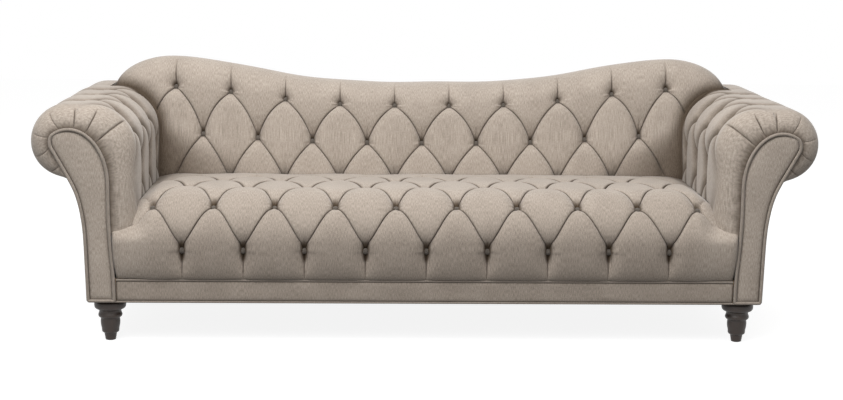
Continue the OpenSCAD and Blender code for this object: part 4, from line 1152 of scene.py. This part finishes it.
MATERIALS = {
    "cover_fabric": linen("linen_tufted", creased=True),
    # The panel, welt and button cloths are darker copies of one linen: painted shade, most on the buttons
    "panel_fabric": linen("linen_panels", shade=0.97, creased=True),
    "welt_fabric": linen("linen_welt", uv=False, shade=0.74, streaks=0.6),
    "button_fabric": linen("linen_buttons", uv=False, shade=0.28, streaks=0.7),
    "foot_wood": grained(
        "espresso_wood", (0.01, 0.0055, 0.0035), (0.032, 0.017, 0.01), (60, 60, 14), 0.48, coat=0.06),
    "hardwood": grained("planed_hardwood", (0.36, 0.22, 0.11), (0.52, 0.35, 0.2), (6, 60, 60), 0.6),
    "plywood": grained("plywood", (0.42, 0.29, 0.16), (0.58, 0.43, 0.27), (30, 260, 8), 0.65),
    "burlap": grained("burlap", (0.3, 0.21, 0.12), (0.5, 0.38, 0.24), (500, 500, 500), 0.95, bump=0.8),
    "webbing": grained("webbing", (0.44, 0.37, 0.26), (0.6, 0.53, 0.4), (300, 300, 900), 0.9, bump=0.6),
    "foam": grained("foam", (0.62, 0.55, 0.33), (0.75, 0.68, 0.45), (350, 350, 350), 0.95, bump=0.5),
    "dust_cloth": grained(
        "dust_cloth", (0.015, 0.014, 0.013), (0.035, 0.033, 0.031), (420, 420, 420), 0.9, bump=0.5),
    "spring_steel": grained(
        "spring_steel", (0.16, 0.16, 0.17), (0.3, 0.3, 0.31), (80, 80, 80), 0.42, metallic=1.0),
    "zinc_steel": grained(
        "zinc_steel", (0.5, 0.51, 0.53), (0.68, 0.69, 0.7), (120, 120, 120), 0.35, metallic=1.0),
}


def dress(obj, slot, node, material=None):
    """Gives a piece the material of its slot or the named one, puts it on the root body and hides its CAD
    node.
    """
    obj.data.materials.clear()
    obj.data.materials.append(MATERIALS[material or slot])
    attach(obj, "root")
    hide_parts(node)


# Geometry Nodes: buttons and welts

def geometry_group(name, inputs):
    geometry = ("Geometry", "NodeSocketGeometry")
    return node_group(name, "GeometryNodeTree", [(*geometry, None), *inputs], [geometry])


def roughened(t, geometry, scale, middle, amount):
    """Moves a surface along its normals by noise, and shades it smooth."""
    spot = t.add("GeometryNodeInputPosition").outputs[0]
    noise = t.add("ShaderNodeTexNoise", {"Vector": spot, "Scale": scale}).outputs["Fac"]
    far = t.math("MULTIPLY", t.math("SUBTRACT", noise, middle), amount)
    normal = t.add("GeometryNodeInputNormal").outputs[0]
    push = t.add("ShaderNodeVectorMath", {0: normal, "Scale": far}, operation="SCALE").outputs[0]
    moved = t.add("GeometryNodeSetPosition", {"Geometry": geometry, "Offset": push}).outputs[0]
    return t.add("GeometryNodeSetShadeSmooth", {0: moved}).outputs[0]


def painted(t, geometry, given, out):
    paint = t.add("GeometryNodeSetMaterial", {"Geometry": geometry, "Material": given["Material"]})
    t.fill(out, {0: paint.outputs[0]})


def button_group():
    """A covered button on every point, facing along the point's own direction."""
    group, t, given, out = geometry_group("covered_buttons", [
        ("Radius", "NodeSocketFloat", BUTTON_R), ("Height", "NodeSocketFloat", 0.0065),
        ("Lift", "NodeSocketFloat", 0.02), ("Gather", "NodeSocketFloat", 0.0006),
        ("Seed", "NodeSocketInt", 5), ("Material", "NodeSocketMaterial", None)])
    ball = t.add("GeometryNodeMeshUVSphere", {"Segments": 32, "Rings": 16, "Radius": 1.0}).outputs["Mesh"]
    size = t.add("ShaderNodeCombineXYZ", {"X": given["Radius"], "Y": given["Radius"], "Z": given["Height"]})
    shift = t.add("ShaderNodeCombineXYZ", {"Z": given["Lift"]})
    flat = t.add(
        "GeometryNodeTransform",
        {"Geometry": ball, "Scale": size.outputs[0], "Translation": shift.outputs[0]})
    spots = t.add("GeometryNodeMeshToPoints", {"Mesh": given["Geometry"]}).outputs["Points"]
    way = t.add("GeometryNodeInputNamedAttribute", {"Name": "out"}, data_type="FLOAT_VECTOR")
    turn = t.add("FunctionNodeAlignRotationToVector", {"Vector": way.outputs["Attribute"]}, axis="Z")
    spin = t.add("FunctionNodeRandomValue", {3: 6.283, "Seed": given["Seed"]}, data_type="FLOAT")
    own = t.add("FunctionNodeAxisAngleToRotation", {"Axis": (0, 0, 1), "Angle": spin.outputs[1]})
    both = t.add(
        "FunctionNodeRotateRotation", {"Rotation": turn.outputs[0], "Rotate By": own.outputs[0]},
        rotation_space="LOCAL")
    place = t.add(
        "GeometryNodeInstanceOnPoints",
        {"Points": spots, "Instance": flat.outputs[0], "Rotation": both.outputs[0]})
    real = t.add("GeometryNodeRealizeInstances", {0: place.outputs[0]}).outputs[0]
    painted(t, roughened(t, real, 240.0, 0.0, given["Gather"]), given, out)
    return group


def welt_group():
    """A cord of a given radius along every path of edges."""
    group, t, given, out = geometry_group("welt_cord", [
        ("Radius", "NodeSocketFloat", WELT_R), ("Step", "NodeSocketFloat", 0.006),
        ("Pucker", "NodeSocketFloat", 0.0003), ("Material", "NodeSocketMaterial", None)])
    curve = t.add("GeometryNodeMeshToCurve", {"Mesh": given["Geometry"]}).outputs[0]
    even = t.add("GeometryNodeResampleCurve", {"Curve": curve, "Length": given["Step"]}, mode="LENGTH")
    ring = t.add("GeometryNodeCurvePrimitiveCircle", {"Resolution": 14, "Radius": given["Radius"]})
    tube = t.add(
        "GeometryNodeCurveToMesh",
        {"Fill Caps": True, "Curve": even.outputs[0], "Profile Curve": ring.outputs[0]})
    soft = roughened(t, tube.outputs[0], 55.0, 0.5, given["Pucker"])
    painted(t, t.add("GeometryNodeRealizeInstances", {0: soft}).outputs[0], given, out)
    return group


def grown(obj, group, settings):
    """Runs a Geometry Nodes group on a piece, keeps its mesh and drops the modifier."""
    modifier = obj.modifiers.new(group.name, "NODES")
    modifier.node_group = group
    for item in group.interface.items_tree:
        if item.item_type == "SOCKET" and item.in_out == "INPUT" and item.name in settings:
            modifier[item.identifier] = settings[item.name]
    obj.update_tag()
    bpy.context.view_layer.update()
    graph = bpy.context.evaluated_depsgraph_get()
    mesh = bpy.data.meshes.new_from_object(obj.evaluated_get(graph), depsgraph=graph)
    old = obj.data
    obj.modifiers.clear()
    obj.data = mesh
    bpy.data.meshes.remove(old)
    mesh.name = obj.name


BUTTONS = button_group()
WELT = welt_group()


def buttons(node, places, lift):
    """The buttons of one cover, lifted off the bottom of their pits."""
    mesh = bpy.data.meshes.new(f"{node}_covered")
    mesh.from_pydata([place for place, _ in places], [], [])
    way = mesh.attributes.new("out", "FLOAT_VECTOR", "POINT")
    way.data.foreach_set("vector", np.array([facing for _, facing in places], np.float32).ravel())
    obj = placed(f"{node}_covered", mesh)
    grown(obj, BUTTONS, {"Lift": lift, "Seed": 11, "Material": MATERIALS["button_fabric"]})
    dress(obj, "button_fabric", node)


def welt(name, path, radius, node, closed=False):
    """A covered cord along a path, which meets its own start if closed."""
    count = len(path)
    edges = [(i, i + 1) for i in range(count - 1)]
    if closed:
        edges.append((count - 1, 0))
    mesh = bpy.data.meshes.new(name)
    mesh.from_pydata([tuple(p) for p in path], edges, [])
    obj = placed(name, mesh)
    grown(obj, WELT, {"Radius": radius, "Material": MATERIALS["welt_fabric"]})
    dress(obj, "welt_fabric", node)


def upright(outline, depth):
    """An outline in X and Z, stood at a depth."""
    return np.stack([outline[:, 0], np.full(len(outline), FRONT + depth), outline[:, 1]], axis=1)


def arm_front_welt(word, side):
    inner, outer = edge_curves(140)
    loop = np.concatenate([inner, outer[-2::-1]]) * np.array([side, 1])
    welt(f"{word}_arm_front_piping", upright(loop, -WELT_R), WELT_R, f"{word}_arm_front_welt", closed=True)


def seat_welt():
    path = [(x, FRONT - 0.003 + HEM_R, DECK - HEM_R) for x in (-SEAT_HALF, 0, SEAT_HALF)]
    welt("seat_piping", path, HEM_R, "seat_welt")


def hem_welt():
    x = FACING_OUT - HEM_R
    front = FRONT + HEM_R
    rear = FRONT + PANEL_DEPTH + HEM_R
    z = BASE + HEM_R
    path = [(-x, front, z), (x, front, z), (x, rear, z), (-x, rear, z)]
    welt("hem_piping", path, HEM_R, "hem_welt", closed=True)


def outside_back_welt():
    turn = np.radians(np.linspace(-90, 90, 30))
    end_ring = np.stack([ROLL_X + ROLL_END_R * np.cos(turn), ROLL_Z + ROLL_END_R * np.sin(turn)], axis=1)
    right = np.concatenate([rear_outline()[:-1], end_ring])
    top_x = np.linspace(ROLL_X - ROLL_END_R, ROLL_END_R - ROLL_X, 160)
    top = np.stack([top_x, back_top(top_x)], axis=1)
    loop = np.concatenate([right, top, right[::-1] * np.array([-1, 1])])
    welt("outside_back_piping", upright(loop, REAR - HEM_R), HEM_R, "outside_back_welt", closed=True)


# Building

SIDES = (("left", -1), ("right", 1))
dress(seat_cover(), "cover_fabric", "seat_pad")
dress(back_cover(), "cover_fabric", "back_pad")
for word, side in SIDES:
    dress(arm_cover(f"{word}_arm_cover", side), "cover_fabric", f"{word}_arm_pad")
    facing = arm_front_panel(f"{word}_arm_facing", side)
    dress(facing, "cover_fabric", f"{word}_arm_front_panel", "panel_fabric")
    outside = outside_arm(f"{word}_outside_arm_cover", side)
    dress(outside, "cover_fabric", f"{word}_outside_arm", "panel_fabric")
dress(outside_back(), "cover_fabric", "outside_back", "panel_fabric")
dress(border(), "cover_fabric", "front_border", "panel_fabric")

buttons("seat_buttons", seat_button_places(), 0.0068)
buttons("back_buttons", back_button_places(), 0.0078)
for word, side in SIDES:
    buttons(f"{word}_arm_buttons", arm_button_places(side), 0.0105)
for word, side in SIDES:
    arm_front_welt(word, side)
seat_welt()
hem_welt()
outside_back_welt()
for word, centre in FOOT_PLACES.items():
    dress(foot(f"{word}_turned_foot", centre), "foot_wood", f"foot_{word}")

# The hidden frame, springs, foam and fasteners stay as CAD nodes, each with its own finish
for part in frame["record"]["subparts"]:
    obj = frame["nodes"][part["node"]]
    obj.data.materials.clear()
    obj.data.materials.append(MATERIALS[part["material_slot"]])


# Floor, light and camera

def seen(t):
    """1 where the camera looks, straight or by way of gloss or glass, and 0 for the light on the object."""
    path = t.add("ShaderNodeLightPath").outputs
    direct = t.math("MAXIMUM", path["Is Camera Ray"], path["Is Glossy Ray"])
    return t.math("MAXIMUM", direct, path["Is Transmission Ray"])


floor = new_mesh("studio_floor", [(-9, -7, 0), (9, -7, 0), (9, 9, 0), (-9, 9, 0)], [(0, 1, 2, 3)])
floor_material, floor_tree, floor_bsdf = principled("studio_white")
floor_tree.fill(floor_bsdf, {
    "Base Color": (0.25, 0.25, 0.25, 1), "Roughness": 0.9, "Specular IOR Level": 0.0,
    "Emission Color": (1, 1, 1, 1), "Emission Strength": floor_tree.math("MULTIPLY", seen(floor_tree), 0.88)})
floor.data.materials.append(floor_material)

world = bpy.data.worlds.new("studio")
world.use_nodes = True
world_tree = Tree(world.node_tree)
strength = world_tree.math("ADD", world_tree.math("MULTIPLY", seen(world_tree), 0.58), 0.42)
world_tree.fill(world.node_tree.nodes["Background"], {"Color": (1, 1, 1, 1), "Strength": strength})
bpy.context.scene.world = world


def area_light(name, place, aim, size, power):
    light = bpy.data.lights.new(name, "AREA")
    light.shape = "RECTANGLE"
    light.size = size[0]
    light.size_y = size[1]
    light.energy = power
    obj = placed(name, light)
    obj.location = place
    obj.rotation_euler = (Vector(aim) - Vector(place)).to_track_quat("-Z", "Y").to_euler()


area_light("overhead", (-0.3, -1.45, 3.5), (0, 0, 0.4), (4.2, 2.6), 124)
area_light("key", (-1.3, -3.4, 3.4), (0, 0, 0.4), (2.6, 1.8), 88)
area_light("rear", (0.6, 4.2, 2.6), (0, 0, 0.5), (3.2, 2), 55)


def photo_camera(place, pitch, yaw, roll, lens):
    """The photograph's camera, turned by its pitch, yaw and roll in radians."""
    camera = bpy.data.cameras.new("photo_camera")
    camera.lens = lens
    camera.sensor_width = 36
    camera.clip_end = 60
    eye = placed("photo_camera", camera)
    eye.location = place
    ahead = Vector((math.sin(yaw) * math.cos(pitch), math.cos(yaw) * math.cos(pitch), -math.sin(pitch)))
    level_right = Vector((math.cos(yaw), -math.sin(yaw), 0))
    level_up = level_right.cross(ahead)
    right = level_right * math.cos(roll) + level_up * math.sin(roll)
    up = level_up * math.cos(roll) - level_right * math.sin(roll)
    eye.rotation_euler = Matrix([(right[i], up[i], -ahead[i]) for i in range(3)]).to_euler()
    bpy.context.scene.camera = eye


photo_camera((-0.156, -5.645, 1.274), pitch=0.15575, yaw=0.0268, roll=0.00949, lens=72.97)
bpy.context.scene.view_settings.view_transform = "Standard"
